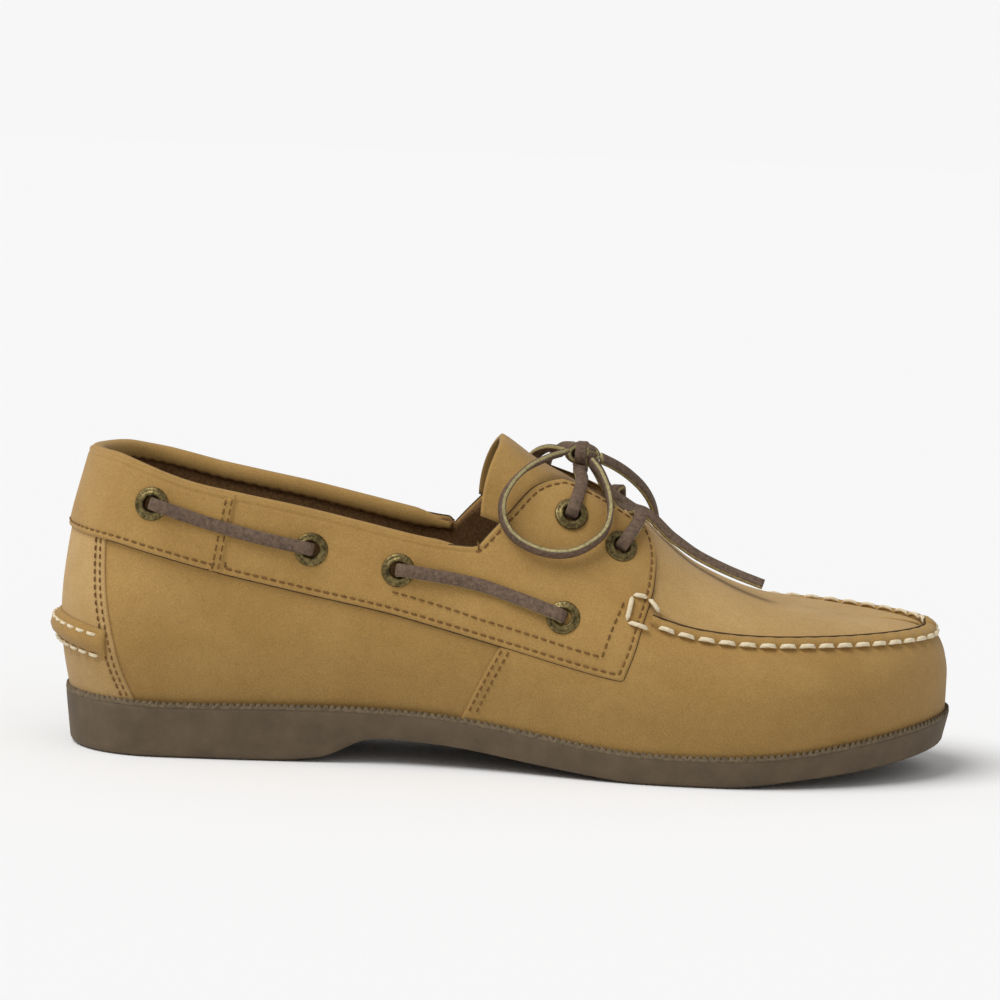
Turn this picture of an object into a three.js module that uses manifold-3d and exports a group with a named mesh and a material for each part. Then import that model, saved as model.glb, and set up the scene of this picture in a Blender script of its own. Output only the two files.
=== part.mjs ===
import * as THREE from "three";
import { mergeVertices } from "three/addons/utils/BufferGeometryUtils.js";
import Module from "manifold-3d";

const wasm = await Module();
wasm.setup();

// A right boat shoe. Sizes are in millimetres: X runs forward from the back of the sole,
// Y to the inner side of the foot and Z up from the floor.

// Sole
const soleLength = 298;
const ballWidth = 104;
const heelWidth = 69;
const toeShift = 5;
const soleHeelHeight = 19.3;
const soleForeHeight = 10.7;
const toeTopRise = 10.9;
const toeSpring = 9.6;
const archRise = 8.3;
const soleUndercut = 1.7;
const soleCorner = 2.2;
const rimWidth = 1.7;
const rimHeight = 1.2;
const heelRestFrom = 12;
const heelRestTo = 64;
const insoleThickness = 3;

// Upper
const upperWall = 2;
const overlayThickness = 1.6;
const seatGap = 0.3;
const featherInset = 2.6;
const collarBackHeight = 99;
const collarLowHeight = 73.8;
const collarInnerLift = 2.4;
const instepHeight = 97;
const toeBoxHeight = 48;
const seamHeight = 45.5;
const seamInnerLift = 4.6;
const throatFront = 191;
const throatHalfWidth = 17;
const throatFlare = 4;
const stayOverhang = 0.8;
const notchInnerShift = 9;
const tongueThickness = 2.4;
const tongueHalfWidth = 29;
const originFromBack = (heelRestFrom + heelRestTo) / 2;

// Trim
const plugThickness = 1.2;
const plugLap = 1;
const seamWidth = 5;
const seamRise = 2.8;
const seamStartAt = 0.648;
const bandSeamAt = 0.177;
const bandSeamLean = 5;
const heelStripWidth = 10;
const heelStripRise = 3.2;
const heelStripHeight = 39;
const heelStripFall = 3;
const heelStripAt = 0.052;
const eyeletDiameter = 11;
const eyeletHole = 5.8;
const eyeletWall = 0.5;
const eyeletFlange = 0.7;
const roundSegments = 10;
const laceWidth = 4.2;
const laceThickness = 1.8;
const laceBend = 1.7;
const cordDiameter = 3;
const knotSize = [11, 9, 8];
const barDip = 4.25;
const dipHalfWidth = 8;

// Outline of the sole's top edge. at is a share of the length, outer and inner are half widths
// as shares of the local width, and shift is the centre line's lean as a share of toeShift.
const outlineRows = [
  { at: 0, outer: 0.5, inner: 0.5, shift: 0 },
  { at: 0.16, outer: 0.5, inner: 0.495, shift: 0 },
  { at: 0.3, outer: 0.475, inner: 0.43, shift: 0 },
  { at: 0.4, outer: 0.447, inner: 0.37, shift: 0 },
  { at: 0.5, outer: 0.442, inner: 0.365, shift: 0.03 },
  { at: 0.6, outer: 0.478, inner: 0.425, shift: 0.12 },
  { at: 0.68, outer: 0.512, inner: 0.462, shift: 0.28 },
  { at: 0.76, outer: 0.528, inner: 0.478, shift: 0.48 },
  { at: 0.84, outer: 0.535, inner: 0.49, shift: 0.7 },
  { at: 1, outer: 0.53, inner: 0.49, shift: 1 },
];

// Heights of the sole. heel and rise are shares of the heel's extra height and of toeTopRise
// along the top edge, arch and spring shares of archRise and toeSpring along the bottom.
const soleRows = [
  { at: 0, heel: 1.02, rise: 0, arch: 0, spring: 0 },
  { at: 0.05, heel: 0.99, rise: 0, arch: 0, spring: 0 },
  { at: 0.13, heel: 0.93, rise: 0, arch: 0, spring: 0 },
  { at: 0.22, heel: 0.98, rise: 0, arch: 0, spring: 0 },
  { at: 0.295, heel: 1, rise: 0, arch: 0.2, spring: 0 },
  { at: 0.345, heel: 0.99, rise: 0, arch: 0.96, spring: 0 },
  { at: 0.4, heel: 0.93, rise: 0, arch: 0.96, spring: 0 },
  { at: 0.45, heel: 0.8, rise: 0, arch: 0.82, spring: 0 },
  { at: 0.52, heel: 0.49, rise: 0, arch: 0.46, spring: 0 },
  { at: 0.58, heel: 0.2, rise: 0, arch: 0.2, spring: 0 },
  { at: 0.64, heel: 0.02, rise: 0, arch: 0, spring: 0 },
  { at: 0.74, heel: 0, rise: 0.02, arch: 0, spring: 0 },
  { at: 0.82, heel: 0, rise: 0.18, arch: 0, spring: 0.26 },
  { at: 0.9, heel: 0, rise: 0.53, arch: 0, spring: 0.54 },
  { at: 1, heel: 0, rise: 1, arch: 0, spring: 1 },
];

// Rails of the upper. The insets run inward from the sole's edge as shares of ballWidth,
// belly is the belly's share of the wall's height, fall the shoulder's share of the way down
// from the collar to the seam, lift the inner side's share of its extra height there, and
// lean and spread the wall's angles from upright below and above the shoulder, in degrees, and
// swell how full the section is between the shoulder and the crown.
const railRows = [
  { at: 0, bellyOuter: -0.008, bellyInner: -0.008, belly: 0.31, outer: 0.092, inner: 0.092,
    fall: -0.08, lift: 0, lean: 13, spread: 16, swell: 0.5 },
  { at: 0.1, bellyOuter: -0.006, bellyInner: -0.006, belly: 0.31, outer: 0.056, inner: 0.056,
    fall: 0, lift: 0.5, lean: 10, spread: 14, swell: 0.5 },
  { at: 0.2, bellyOuter: 0, bellyInner: -0.004, belly: 0.33, outer: 0.04, inner: 0.04,
    fall: 0.13, lift: 0.5, lean: 8, spread: 10, swell: 0.5 },
  { at: 0.3, bellyOuter: -0.012, bellyInner: -0.03, belly: 0.36, outer: 0.038, inner: 0.012,
    fall: 0.24, lift: 0.5, lean: 8, spread: 9, swell: 0.5 },
  { at: 0.4, bellyOuter: -0.012, bellyInner: -0.045, belly: 0.38, outer: 0.05, inner: 0,
    fall: 0.36, lift: 0.6, lean: 10, spread: 10, swell: 0.54 },
  { at: 0.46, bellyOuter: 0, bellyInner: -0.03, belly: 0.39, outer: 0.07, inner: 0.02,
    fall: 0.44, lift: 0.6, lean: 13, spread: 13, swell: 0.58 },
  { at: 0.5, bellyOuter: 0.006, bellyInner: -0.02, belly: 0.39, outer: 0.08, inner: 0.04,
    fall: 0.53, lift: 0.7, lean: 16, spread: 16, swell: 0.62 },
  { at: 0.55, bellyOuter: 0.01, bellyInner: 0, belly: 0.4, outer: 0.09, inner: 0.07,
    fall: 0.66, lift: 0.8, lean: 20, spread: 20, swell: 0.64 },
  { at: 0.6, bellyOuter: 0.012, bellyInner: 0.01, belly: 0.41, outer: 0.1, inner: 0.09,
    fall: 0.79, lift: 0.9, lean: 27, spread: 27, swell: 0.64 },
  { at: 0.65, bellyOuter: 0.014, bellyInner: 0.014, belly: 0.42, outer: 0.11, inner: 0.105,
    fall: 0.9, lift: 1, lean: 38, spread: 38, swell: 0.58 },
  { at: 0.7, bellyOuter: 0.014, bellyInner: 0.014, belly: 0.43, outer: 0.115, inner: 0.112,
    fall: 0.97, lift: 1, lean: 48, spread: 54, swell: 0.48 },
  { at: 0.77, bellyOuter: 0.013, bellyInner: 0.013, belly: 0.44, outer: 0.115, inner: 0.115,
    fall: 1, lift: 1, lean: 50, spread: 66, swell: 0.4 },
  { at: 0.87, bellyOuter: 0.014, bellyInner: 0.014, belly: 0.44, outer: 0.106, inner: 0.106,
    fall: 1, lift: 0.9, lean: 50, spread: 70, swell: 0.4 },
  { at: 1, bellyOuter: 0.024, bellyInner: 0.024, belly: 0.44, outer: 0.078, inner: 0.078,
    fall: 0.98, lift: 0.25, lean: 45, spread: 72, swell: 0.4 },
];

// Crown along the centre line, as a share of the way up from the toe box to the instep.
const crownRows = [
  { at: 0, rise: 1.7 },
  { at: 0.3, rise: 1.62 },
  { at: 0.42, rise: 1.48 },
  { at: 0.484, rise: 1.3 },
  { at: 0.524, rise: 1.12 },
  { at: 0.56, rise: 1 },
  { at: 0.604, rise: 0.85 },
  { at: 0.638, rise: 0.71 },
  { at: 0.665, rise: 0.56 },
  { at: 0.708, rise: 0.37 },
  { at: 0.782, rise: 0.18 },
  { at: 0.86, rise: 0.08 },
  { at: 0.93, rise: 0.03 },
  { at: 1, rise: 0 },
];

// Collar edge seen from the side, as a share of the way down from the back to the low point.
const collarRows = [
  { at: 0, drop: 0 },
  { at: 0.045, drop: 0.02 },
  { at: 0.09, drop: 0.14 },
  { at: 0.145, drop: 0.34 },
  { at: 0.2, drop: 0.465 },
  { at: 0.265, drop: 0.605 },
  { at: 0.33, drop: 0.77 },
  { at: 0.4, drop: 0.945 },
  { at: 0.445, drop: 1 },
  { at: 0.5, drop: 1 },
];

// Lower edge of the collar band, as a share of the way down from the collar's back to the seam.
const bandRows = [
  { at: 0, drop: 0.495 },
  { at: 0.06, drop: 0.53 },
  { at: 0.1, drop: 0.58 },
  { at: 0.15, drop: 0.65 },
  { at: 0.19, drop: 0.7 },
  { at: 0.27, drop: 0.79 },
  { at: 0.36, drop: 0.885 },
  { at: 0.41, drop: 0.95 },
  { at: 0.5, drop: 1.075 },
  { at: 0.6, drop: 1.2 },
  { at: 0.64, drop: 1.23 },
];

// Rear and front edges of the eyestay from the side, up as a share from the seam to the instep.
const stayRearRows = [
  { at: 0.461, up: 0.56 },
  { at: 0.475, up: 0.655 },
  { at: 0.497, up: 0.795 },
  { at: 0.508, up: 0.87 },
  { at: 0.52, up: 0.935 },
  { at: 0.534, up: 0.97 },
  { at: 0.55, up: 0.985 },
];

const stayFrontRows = [
  { at: 0.622, up: -0.227 },
  { at: 0.635, up: -0.03 },
  { at: 0.641, up: 0.09 },
  { at: 0.653, up: 0.3 },
  { at: 0.656, up: 0.4 },
  { at: 0.657, up: 0.53 },
  { at: 0.653, up: 0.62 },
  { at: 0.645, up: 0.7 },
];

// Seam at the front of the heel counter from the side, up as a share from the sole to the band.
const counterRows = [
  { at: 0.088, up: 0 },
  { at: 0.073, up: 0.18 },
  { at: 0.064, up: 0.36 },
  { at: 0.055, up: 0.6 },
  { at: 0.047, up: 1 },
];

// Eyelets from the side, up as a share from the seam's height to the instep.
const eyeletRows = [
  { name: "eyelet_heel", at: 0.102, up: 0.744 },
  { name: "eyelet_quarter", at: 0.2775, up: 0.493 },
  { name: "eyelet_waist", at: 0.3735, up: 0.384 },
  { name: "eyelet_vamp", at: 0.5555, up: 0.142 },
  { name: "eyelet_instep", at: 0.561, up: 0.771 },
  { name: "eyelet_throat", at: 0.617, up: 0.581 },
];

// Edge of the tongue from the side, from its low rear corner along its lower edge to the front.
const tongueRows = [
  { at: 0.468, up: 0.62 },
  { at: 0.55, up: 0.42 },
  { at: 0.69, up: 0.2 },
  { at: 0.7, up: 0.9 },
  { at: 0.52, up: 1.5 },
  { at: 0.484, up: 1.24 },
];

// Routes of the bow from the knot: its two loops come back to the knot, its two ends lie free.
const knotCentre = [170.5, -1, 102.6];
const outerLoopRoute = [
  [164.5, -7, 103.5], [158.5, -17, 102.2], [151.9, -25, 99.3], [147, -29, 94.5],
  [144.5, -31.5, 89.1], [144.9, -33.4, 83.3], [148.1, -35, 78.2], [154.2, -36.2, 74.6],
  [160.9, -36.9, 73], [167.7, -36.8, 73.5], [173.6, -35.2, 76.2], [178.2, -32, 80.3],
  [179.9, -27.3, 86], [179, -21, 92], [176.6, -13, 97], [173.6, -8, 100.4],
];
const innerLoopRoute = [
  [177, 3, 101], [182.3, 8, 98.2], [187.5, 13, 94.5], [192.5, 18.5, 89.5], [196, 24, 83.5],
  [197.6, 29.5, 76.5], [195.5, 35.5, 69.5], [189.5, 39.3, 64.5], [181, 41.5, 62], [172, 41.5, 63],
  [165, 39.5, 67.5], [160.5, 36.5, 75], [158.5, 32, 84], [159, 26.5, 93.5], [160.5, 21, 99.8],
  [163.5, 14.5, 103.2], [167, 9, 104],
];
const outerEndRoute = [
  [173, -1.5, 101.6], [176.5, -3, 96.5], [179, -3, 92], [182, -3, 89.3], [185.6, -3, 87],
  [188.6, -3, 85.2], [191.8, -3.5, 84.6], [195.4, -4, 82.4], [200.5, -5, 78], [205.5, -6, 74.6],
  [211.2, -6, 71.2], [221.3, -7, 66.8], [232.5, -8, 62.8],
];
const innerEndRoute = [
  [168.5, 1, 102.8], [164.5, 6, 103.4], [160.5, 12, 103.2], [156.5, 18.5, 101.2], [153.2, 25, 97],
  [150.8, 30, 91], [149, 33.2, 84], [147.6, 35.3, 77], [146.8, 37, 70],
];

const outerSide = -1;
const innerSide = 1;
const heelCap = 0.113;
const toeCap = 0.27;
const spineBack = 0.2;
const spineFront = 0.88;
const stationsPerSide = 26;

// Value of one column at a share of the length, by a cubic through the rows.
function valueAt(rows, column, at) {
  const last = rows.length - 1;
  let i = rows.findIndex((row) => row.at > at) - 1;
  if (i === -2) i = last - 1;
  i = Math.max(i, 0);
  const slope = (j) => {
    const before = rows[Math.max(j - 1, 0)];
    const after = rows[Math.min(j + 1, last)];
    return (after[column] - before[column]) / (after.at - before.at);
  };
  const span = rows[i + 1].at - rows[i].at;
  const t = THREE.MathUtils.clamp((at - rows[i].at) / span, 0, 1);
  const from = rows[i][column];
  const to = rows[i + 1][column];
  const h = t * t * (3 - 2 * t);
  const rise = t * (1 - t) * ((1 - t) * slope(i) - t * slope(i + 1)) * span;
  return from + (to - from) * h + rise;
}

function localWidth(at) {
  return THREE.MathUtils.lerp(heelWidth, ballWidth, THREE.MathUtils.smoothstep(at, 0.28, 0.66));
}

// Round ends of the outline, the toe a little more pointed than the heel.
function capShare(at) {
  const heel = THREE.MathUtils.clamp(1 - at / heelCap, 0, 1);
  const toe = THREE.MathUtils.clamp(1 - (1 - at) / toeCap, 0, 1);
  return Math.sqrt((1 - heel ** 2.1) * (1 - toe ** 1.85));
}

function outlinePoint(side, at) {
  const column = side === outerSide ? "outer" : "inner";
  const half = valueAt(outlineRows, column, at) * localWidth(at) * capShare(at);
  const centre = valueAt(outlineRows, "shift", at) * toeShift;
  return new THREE.Vector2(at * soleLength, centre + side * half);
}

function soleTop(at) {
  const heel = valueAt(soleRows, "heel", at) * (soleHeelHeight - soleForeHeight);
  return soleForeHeight + heel + valueAt(soleRows, "rise", at) * toeTopRise;
}

function soleBottom(at) {
  const arch = valueAt(soleRows, "arch", at) * archRise;
  return Math.max(arch + valueAt(soleRows, "spring", at) * toeSpring, 0);
}

// A turn of 0 to 1 runs along the outer side from heel to toe, and 1 to 2 back along the inner.
function sideOf(turn) {
  return turn <= 1 ? outerSide : innerSide;
}

function shareOf(turn) {
  return (1 - Math.cos(Math.PI * turn)) / 2;
}

function inwardNormal(turn) {
  const step = 1e-4;
  const wrap = (value) => (value + 2) % 2;
  const before = outlinePoint(sideOf(wrap(turn - step)), shareOf(turn - step));
  const after = outlinePoint(sideOf(wrap(turn + step)), shareOf(turn + step));
  const along = after.sub(before).normalize();
  return new THREE.Vector2(-along.y, along.x);
}

function crownHeight(at) {
  return toeBoxHeight + valueAt(crownRows, "rise", at) * (instepHeight - toeBoxHeight);
}

// The spine under the crown stops short of both ends, and stations beyond it close up on it.
function spineShare(at) {
  const middle = 0.55;
  const towardToe = at > middle;
  const reach = towardToe ? 1 - middle : middle;
  const length = towardToe ? spineFront - middle : middle - spineBack;
  const t = Math.abs(at - middle) / reach;
  const start = reach / length;
  const eased = start * t + (3 - 2 * start) * t ** 2 + (start - 2) * t ** 3;
  return middle + (towardToe ? 1 : -1) * eased * length;
}

function bezier(points, t) {
  const s = 1 - t;
  const weights = [s ** 3, 3 * s * s * t, 3 * s * t * t, t ** 3];
  const sum = new THREE.Vector3();
  points.forEach((point, i) => sum.addScaledVector(point, weights[i]));
  return sum;
}

// Point of the upper's outer face. level 0 is the feather line, 1 the belly, 2 the shoulder
// that carries the moccasin seam and the collar, and 3 the crown.
function lastPoint(turn, level) {
  const side = sideOf(turn);
  const at = shareOf(turn);
  const edge = outlinePoint(side, at);
  const inward = inwardNormal(turn);
  const row = (column) => valueAt(railRows, column, at);
  const name = side === outerSide ? "Outer" : "Inner";
  const place = (inset, height) =>
    new THREE.Vector3(edge.x + inward.x * inset, edge.y + inward.y * inset, height);
  const direction = (degrees) => {
    const angle = THREE.MathUtils.degToRad(degrees);
    return new THREE.Vector3(inward.x * Math.sin(angle), inward.y * Math.sin(angle), Math.cos(angle));
  };
  const base = soleTop(at) - rimHeight + seatGap;
  const lift = side === innerSide ? row("lift") * seamInnerLift : 0;
  const shoulderHeight = THREE.MathUtils.lerp(collarBackHeight, seamHeight, row("fall")) + lift;
  const shoulder = place(row(name.toLowerCase()) * ballWidth, shoulderHeight);
  const bellyHeight = base + row("belly") * (shoulderHeight - base);
  const belly = place(row("belly" + name) * ballWidth, bellyHeight);
  if (level <= 1) {
    const feather = place(featherInset, base);
    const rise = new THREE.Vector3(0, 0, bellyHeight - base);
    const swell = belly.clone().sub(feather).setZ(0);
    const foot = feather.clone().addScaledVector(rise, 0.35).addScaledVector(swell, 0.6);
    return bezier([feather, foot, belly.clone().addScaledVector(rise, -0.4), belly], level);
  }
  if (level <= 2) {
    const rise = new THREE.Vector3(0, 0, shoulderHeight - bellyHeight);
    const reach = shoulder.distanceTo(belly);
    const arrive = shoulder.clone().addScaledVector(direction(row("lean")), -0.36 * reach);
    return bezier([belly, belly.clone().addScaledVector(rise, 0.42), arrive, shoulder], level - 1);
  }
  const crownAt = spineShare(at);
  const centre = valueAt(outlineRows, "shift", crownAt) * toeShift;
  const crown = new THREE.Vector3(crownAt * soleLength, centre, crownHeight(crownAt));
  const step = 0.01;
  const climb = crownHeight(crownAt + step) - crownHeight(crownAt - step);
  const slope = climb / (2 * step * soleLength);
  const outward = shoulder.clone().sub(crown);
  outward.z = outward.x * slope;
  const reach = row("swell") * shoulder.distanceTo(crown);
  const leave = shoulder.clone().addScaledVector(direction(row("spread")), reach);
  return bezier([shoulder, leave, crown.clone().addScaledVector(outward, 0.5), crown], level - 2);
}

// Point at a distance out from the upper's face, square to it.
function offsetPoint(turn, level, distance) {
  const step = 0.004;
  const wrap = (value) => (value + 2) % 2;
  const near = THREE.MathUtils.clamp(level, step, 2.96);
  const side = wrap(turn);
  const along = lastPoint(wrap(side + step), near).sub(lastPoint(wrap(side - step), near));
  const up = lastPoint(side, near + step).sub(lastPoint(side, near - step));
  const normal = along.cross(up);
  if (level === 0) normal.z = 0;
  return lastPoint(side, level).addScaledVector(normal.normalize(), distance);
}

function solidFrom(geometry) {
  const bare = geometry.index ? geometry.toNonIndexed() : geometry.clone();
  bare.deleteAttribute("normal");
  bare.deleteAttribute("uv");
  const merged = mergeVertices(bare, 1e-4);
  return new wasm.Manifold(new wasm.Mesh({
    numProp: 3,
    vertProperties: new Float32Array(merged.attributes.position.array),
    triVerts: new Uint32Array(merged.index.array),
  }));
}

// Closed solid over a grid of points: rows of equal length, each a closed ring, with strips
// between the two sides of the first and the last ring. The first rings may run down an inner
// face. Each side's quads are split alike on both faces, so that nested faces stay parallel.
function ringSolid(rings, innerRings = 0) {
  const positions = [];
  const triangle = (a, b, c) => positions.push(...a.toArray(), ...b.toArray(), ...c.toArray());
  const count = rings[0].length;
  for (let r = 0; r + 1 < rings.length; r += 1) {
    for (let i = 0; i < count; i += 1) {
      const j = (i + 1) % count;
      const [low, high] = [rings[r], rings[r + 1]];
      const rising = (i < count / 2) === (r >= innerRings);
      if (rising) {
        triangle(low[i], low[j], high[j]);
        triangle(low[i], high[j], high[i]);
      } else {
        triangle(low[i], low[j], high[i]);
        triangle(low[j], high[j], high[i]);
      }
    }
  }
  const strips = (ring, under) => {
    for (let i = 0; i < count / 2; i += 1) {
      const facing = [ring[(count - i - 1) % count], ring[(count - i) % count]];
      const corners = [ring[i], ring[i + 1], ...facing];
      const [a, b, c, d] = under ? corners.reverse() : corners;
      triangle(a, b, c);
      triangle(a, c, d);
    }
  };
  strips(rings[0], true);
  strips(rings[rings.length - 1], false);
  const geometry = new THREE.BufferGeometry();
  geometry.setAttribute("position", new THREE.Float32BufferAttribute(dropFlat(positions), 3));
  return solidFrom(geometry);
}

// Triangles with two equal corners, where a ring closes up on itself, are left out.
function dropFlat(positions) {
  const kept = [];
  for (let i = 0; i < positions.length; i += 9) {
    const [a, b, c] = [0, 3, 6].map((k) => new THREE.Vector3().fromArray(positions, i + k));
    const smallest = Math.min(a.distanceTo(b), b.distanceTo(c), c.distanceTo(a));
    if (smallest > 2e-4) kept.push(...positions.slice(i, i + 9));
  }
  return kept;
}

const wallLevels = [0, 0.5, 1, 1.35, 1.7, 2];
const seamEdge = (turn) => levelFrom(turn, 2, seamWidth / 2 + seatGap);
const crownLevels = [seamEdge, 2.4, 2.7, 3];

function turns() {
  return Array.from({ length: 2 * stationsPerSide }, (_, i) => i / stationsPerSide);
}

// Hollow form of the upper between two distances out from its face, open underneath.
function shellSolid(inside, outside, levels) {
  const ring = (row, distance) =>
    turns().map((turn) => {
      const level = typeof row === "function" ? row(turn) : row;
      if (level < 3) return offsetPoint(turn, level, distance);
      const crown = lastPoint(turn, 3);
      return crown.setZ(crown.z + distance);
    });
  const inner = levels.map((level) => ring(level, inside)).reverse();
  return ringSolid([...inner, ...levels.map((level) => ring(level, outside))], levels.length - 1);
}

// Upright prism over an outline drawn from the side in X and Z, between two values of Y.
function sidePrism(outline, fromY, toY) {
  const shape = new THREE.Shape(outline.map(([x, z]) => new THREE.Vector2(x, z)));
  const geometry = new THREE.ExtrudeGeometry(shape, { depth: toY - fromY, bevelEnabled: false });
  geometry.rotateX(Math.PI / 2);
  geometry.translate(0, toY, 0);
  return solidFrom(geometry);
}

// Prism over an outline drawn from above in X and Y, between two heights.
function planPrism(outline, fromZ, toZ) {
  const shape = new THREE.Shape(outline.map(([x, y]) => new THREE.Vector2(x, y)));
  const geometry = new THREE.ExtrudeGeometry(shape, { depth: toZ - fromZ, bevelEnabled: false });
  geometry.translate(0, 0, fromZ);
  return solidFrom(geometry);
}

const model = new THREE.Group();

function addPiece(name, solid, color, roughness, metalness = 0) {
  const mesh = solid.getMesh();
  const geometry = new THREE.BufferGeometry();
  const corners = new Float32Array(mesh.vertProperties);
  geometry.setAttribute("position", new THREE.BufferAttribute(corners, 3));
  geometry.setIndex(new THREE.BufferAttribute(new Uint32Array(mesh.triVerts), 1));
  geometry.computeVertexNormals();
  const finish = new THREE.MeshStandardMaterial({ color, roughness, metalness });
  const piece = new THREE.Mesh(geometry, finish);
  piece.name = name;
  model.add(piece);
}

// Ring of points round the sole, inset from its outline, at a height given by a function.
function soleRing(inset, height) {
  return turns().map((turn) => {
    const at = shareOf(turn);
    const edge = outlinePoint(sideOf(turn), at);
    const inward = inwardNormal(turn);
    return new THREE.Vector3(edge.x + inward.x * inset, edge.y + inward.y * inset, height(at));
  });
}

function outsole() {
  const ledge = (at) => soleTop(at) - rimHeight;
  return ringSolid([
    soleRing(soleUndercut + soleCorner, soleBottom),
    soleRing(soleUndercut + 0.35 * soleCorner, (at) => soleBottom(at) + 0.3 * soleCorner),
    soleRing(soleUndercut, (at) => soleBottom(at) + soleCorner),
    soleRing(0, soleTop),
    soleRing(rimWidth, soleTop),
    soleRing(rimWidth, ledge),
  ]);
}

function insole() {
  const inset = featherInset + upperWall + seatGap;
  const seat = (at) => soleTop(at) - rimHeight + seatGap;
  return ringSolid([
    soleRing(inset, seat),
    soleRing(inset, (at) => seat(at) + 0.6 * insoleThickness),
    soleRing(inset + 1, (at) => seat(at) + insoleThickness),
  ]);
}

// Heights and edges seen from the side.
function collarHeight(side, at) {
  const drop = valueAt(collarRows, "drop", at);
  const height = THREE.MathUtils.lerp(collarBackHeight, collarLowHeight, drop);
  const lift = side === innerSide ? collarInnerLift * THREE.MathUtils.smoothstep(at, 0.05, 0.15) : 0;
  return height + lift;
}

function bandHeight(at) {
  return THREE.MathUtils.lerp(collarBackHeight, seamHeight, valueAt(bandRows, "drop", at));
}

function edgePoints(rows, shift) {
  return rows.map((row) => [
    row.at * soleLength - shift,
    THREE.MathUtils.lerp(seamHeight, instepHeight, row.up),
  ]);
}

function shares(from, to, count) {
  return Array.from({ length: count + 1 }, (_, i) => THREE.MathUtils.lerp(from, to, i / count));
}

const beyond = 60;
const above = 2 * instepHeight;

// Span in Y that takes in one side of the shoe, or all of it.
function reachOf(side) {
  if (side === outerSide) return [-2 * beyond, 0];
  return side === innerSide ? [0, 2 * beyond] : [-2 * beyond, 2 * beyond];
}

// Space over the collar and behind the eyestay, on one side of the centre line.
function collarSpace(side) {
  const shift = side === innerSide ? notchInnerShift : 0;
  const rear = edgePoints(stayRearRows, shift);
  const last = rear[0][0] / soleLength;
  const collar = shares(0.01, last - 0.01, 18);
  const outline = [
    [-beyond, collarBackHeight],
    ...collar.map((at) => [at * soleLength, collarHeight(side, at)]),
    ...rear,
    [rear[rear.length - 1][0], above],
    [-beyond, above],
  ];
  return sidePrism(outline, ...reachOf(side));
}

// Space between the eyestays, seen from above.
function throatSpace(margin, front = throatFront + margin) {
  const half = throatHalfWidth + margin;
  const round = 0.4 * half;
  const outline = [
    [stayRearRows[0].at * soleLength - 2 * notchInnerShift, -half - throatFlare],
    [front - round, -half],
    [front - 0.3 * round, -half + 0.3 * round],
    [front, -half + round],
    [front, half - round],
    [front - 0.3 * round, half - 0.3 * round],
    [front - round, half],
    [stayRearRows[0].at * soleLength - 2 * notchInnerShift, half + throatFlare],
  ];
  return planPrism(outline, seamHeight, above);
}

// Level that lies a number of millimetres up the face from another level.
function levelFrom(turn, level, across) {
  const step = across < 0 ? -0.02 : 0.02;
  const reach = lastPoint(turn, level + step).distanceTo(lastPoint(turn, level));
  return level + (across / reach) * Math.abs(step);
}

// Closed strip laid on the face from one turn to another. The profile's rows hold how far
// across the strip and how far out from the face each corner of its section lies, from the
// middle of its foot.
function faceStrip(fromTurn, toTurn, steps, levelAt, profile) {
  const rings = shares(fromTurn, toTurn, steps).map((turn) => {
    const wrapped = (turn + 2) % 2;
    const level = levelAt(wrapped);
    return profile.map(({ across, out }) =>
      offsetPoint(wrapped, levelFrom(wrapped, level, across), out));
  });
  return sweepSolid(rings);
}

// Closed solid through a run of equal sections, with a fan over each end.
function sweepSolid(rings) {
  const positions = [];
  const triangle = (a, b, c) => positions.push(...a.toArray(), ...b.toArray(), ...c.toArray());
  const count = rings[0].length;
  for (let r = 0; r + 1 < rings.length; r += 1) {
    for (let i = 0; i < count; i += 1) {
      const j = (i + 1) % count;
      triangle(rings[r][i], rings[r][j], rings[r + 1][j]);
      triangle(rings[r][i], rings[r + 1][j], rings[r + 1][i]);
    }
  }
  const [first, last] = [rings[0], rings[rings.length - 1]];
  for (let i = 1; i + 1 < count; i += 1) {
    triangle(first[0], first[i + 1], first[i]);
    triangle(last[0], last[i], last[i + 1]);
  }
  const geometry = new THREE.BufferGeometry();
  geometry.setAttribute("position", new THREE.Float32BufferAttribute(positions, 3));
  return solidFrom(geometry);
}

// Turn and level of the place on one side that is seen at a given X and Z.
function placeOnSide(side, x, z) {
  const distance = seatGap + overlayThickness;
  const first = Math.acos(1 - (2 * x) / soleLength) / Math.PI;
  let turn = side === outerSide ? first : 2 - first;
  const missBy = (candidate) => Math.abs(offsetPoint(turn, candidate, distance).z - z);
  let level = shares(0.2, 2.8, 26).reduce((best, next) => (missBy(next) < missBy(best) ? next : best));
  const step = 1e-3;
  for (let i = 0; i < 12; i += 1) {
    const here = offsetPoint(turn, level, distance);
    const byTurn = offsetPoint(turn + step, level, distance).sub(here).divideScalar(step);
    const byLevel = offsetPoint(turn, level + step, distance).sub(here).divideScalar(step);
    const [dx, dz] = [x - here.x, z - here.z];
    const det = byTurn.x * byLevel.z - byLevel.x * byTurn.z;
    turn += THREE.MathUtils.clamp((dx * byLevel.z - dz * byLevel.x) / det, -0.05, 0.05);
    level += THREE.MathUtils.clamp((dz * byTurn.x - dx * byTurn.z) / det, -0.05, 0.05);
  }
  const point = offsetPoint(turn, level, distance);
  const normal = offsetPoint(turn, level, distance + 1).sub(point).normalize();
  return { side, turn, level, point, normal };
}

function aimedAlong(geometry, place) {
  const turned = new THREE.Quaternion().setFromUnitVectors(new THREE.Vector3(0, 1, 0), place.normal);
  geometry.applyQuaternion(turned);
  geometry.translate(place.point.x, place.point.y, place.point.z);
  return solidFrom(geometry);
}

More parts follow.
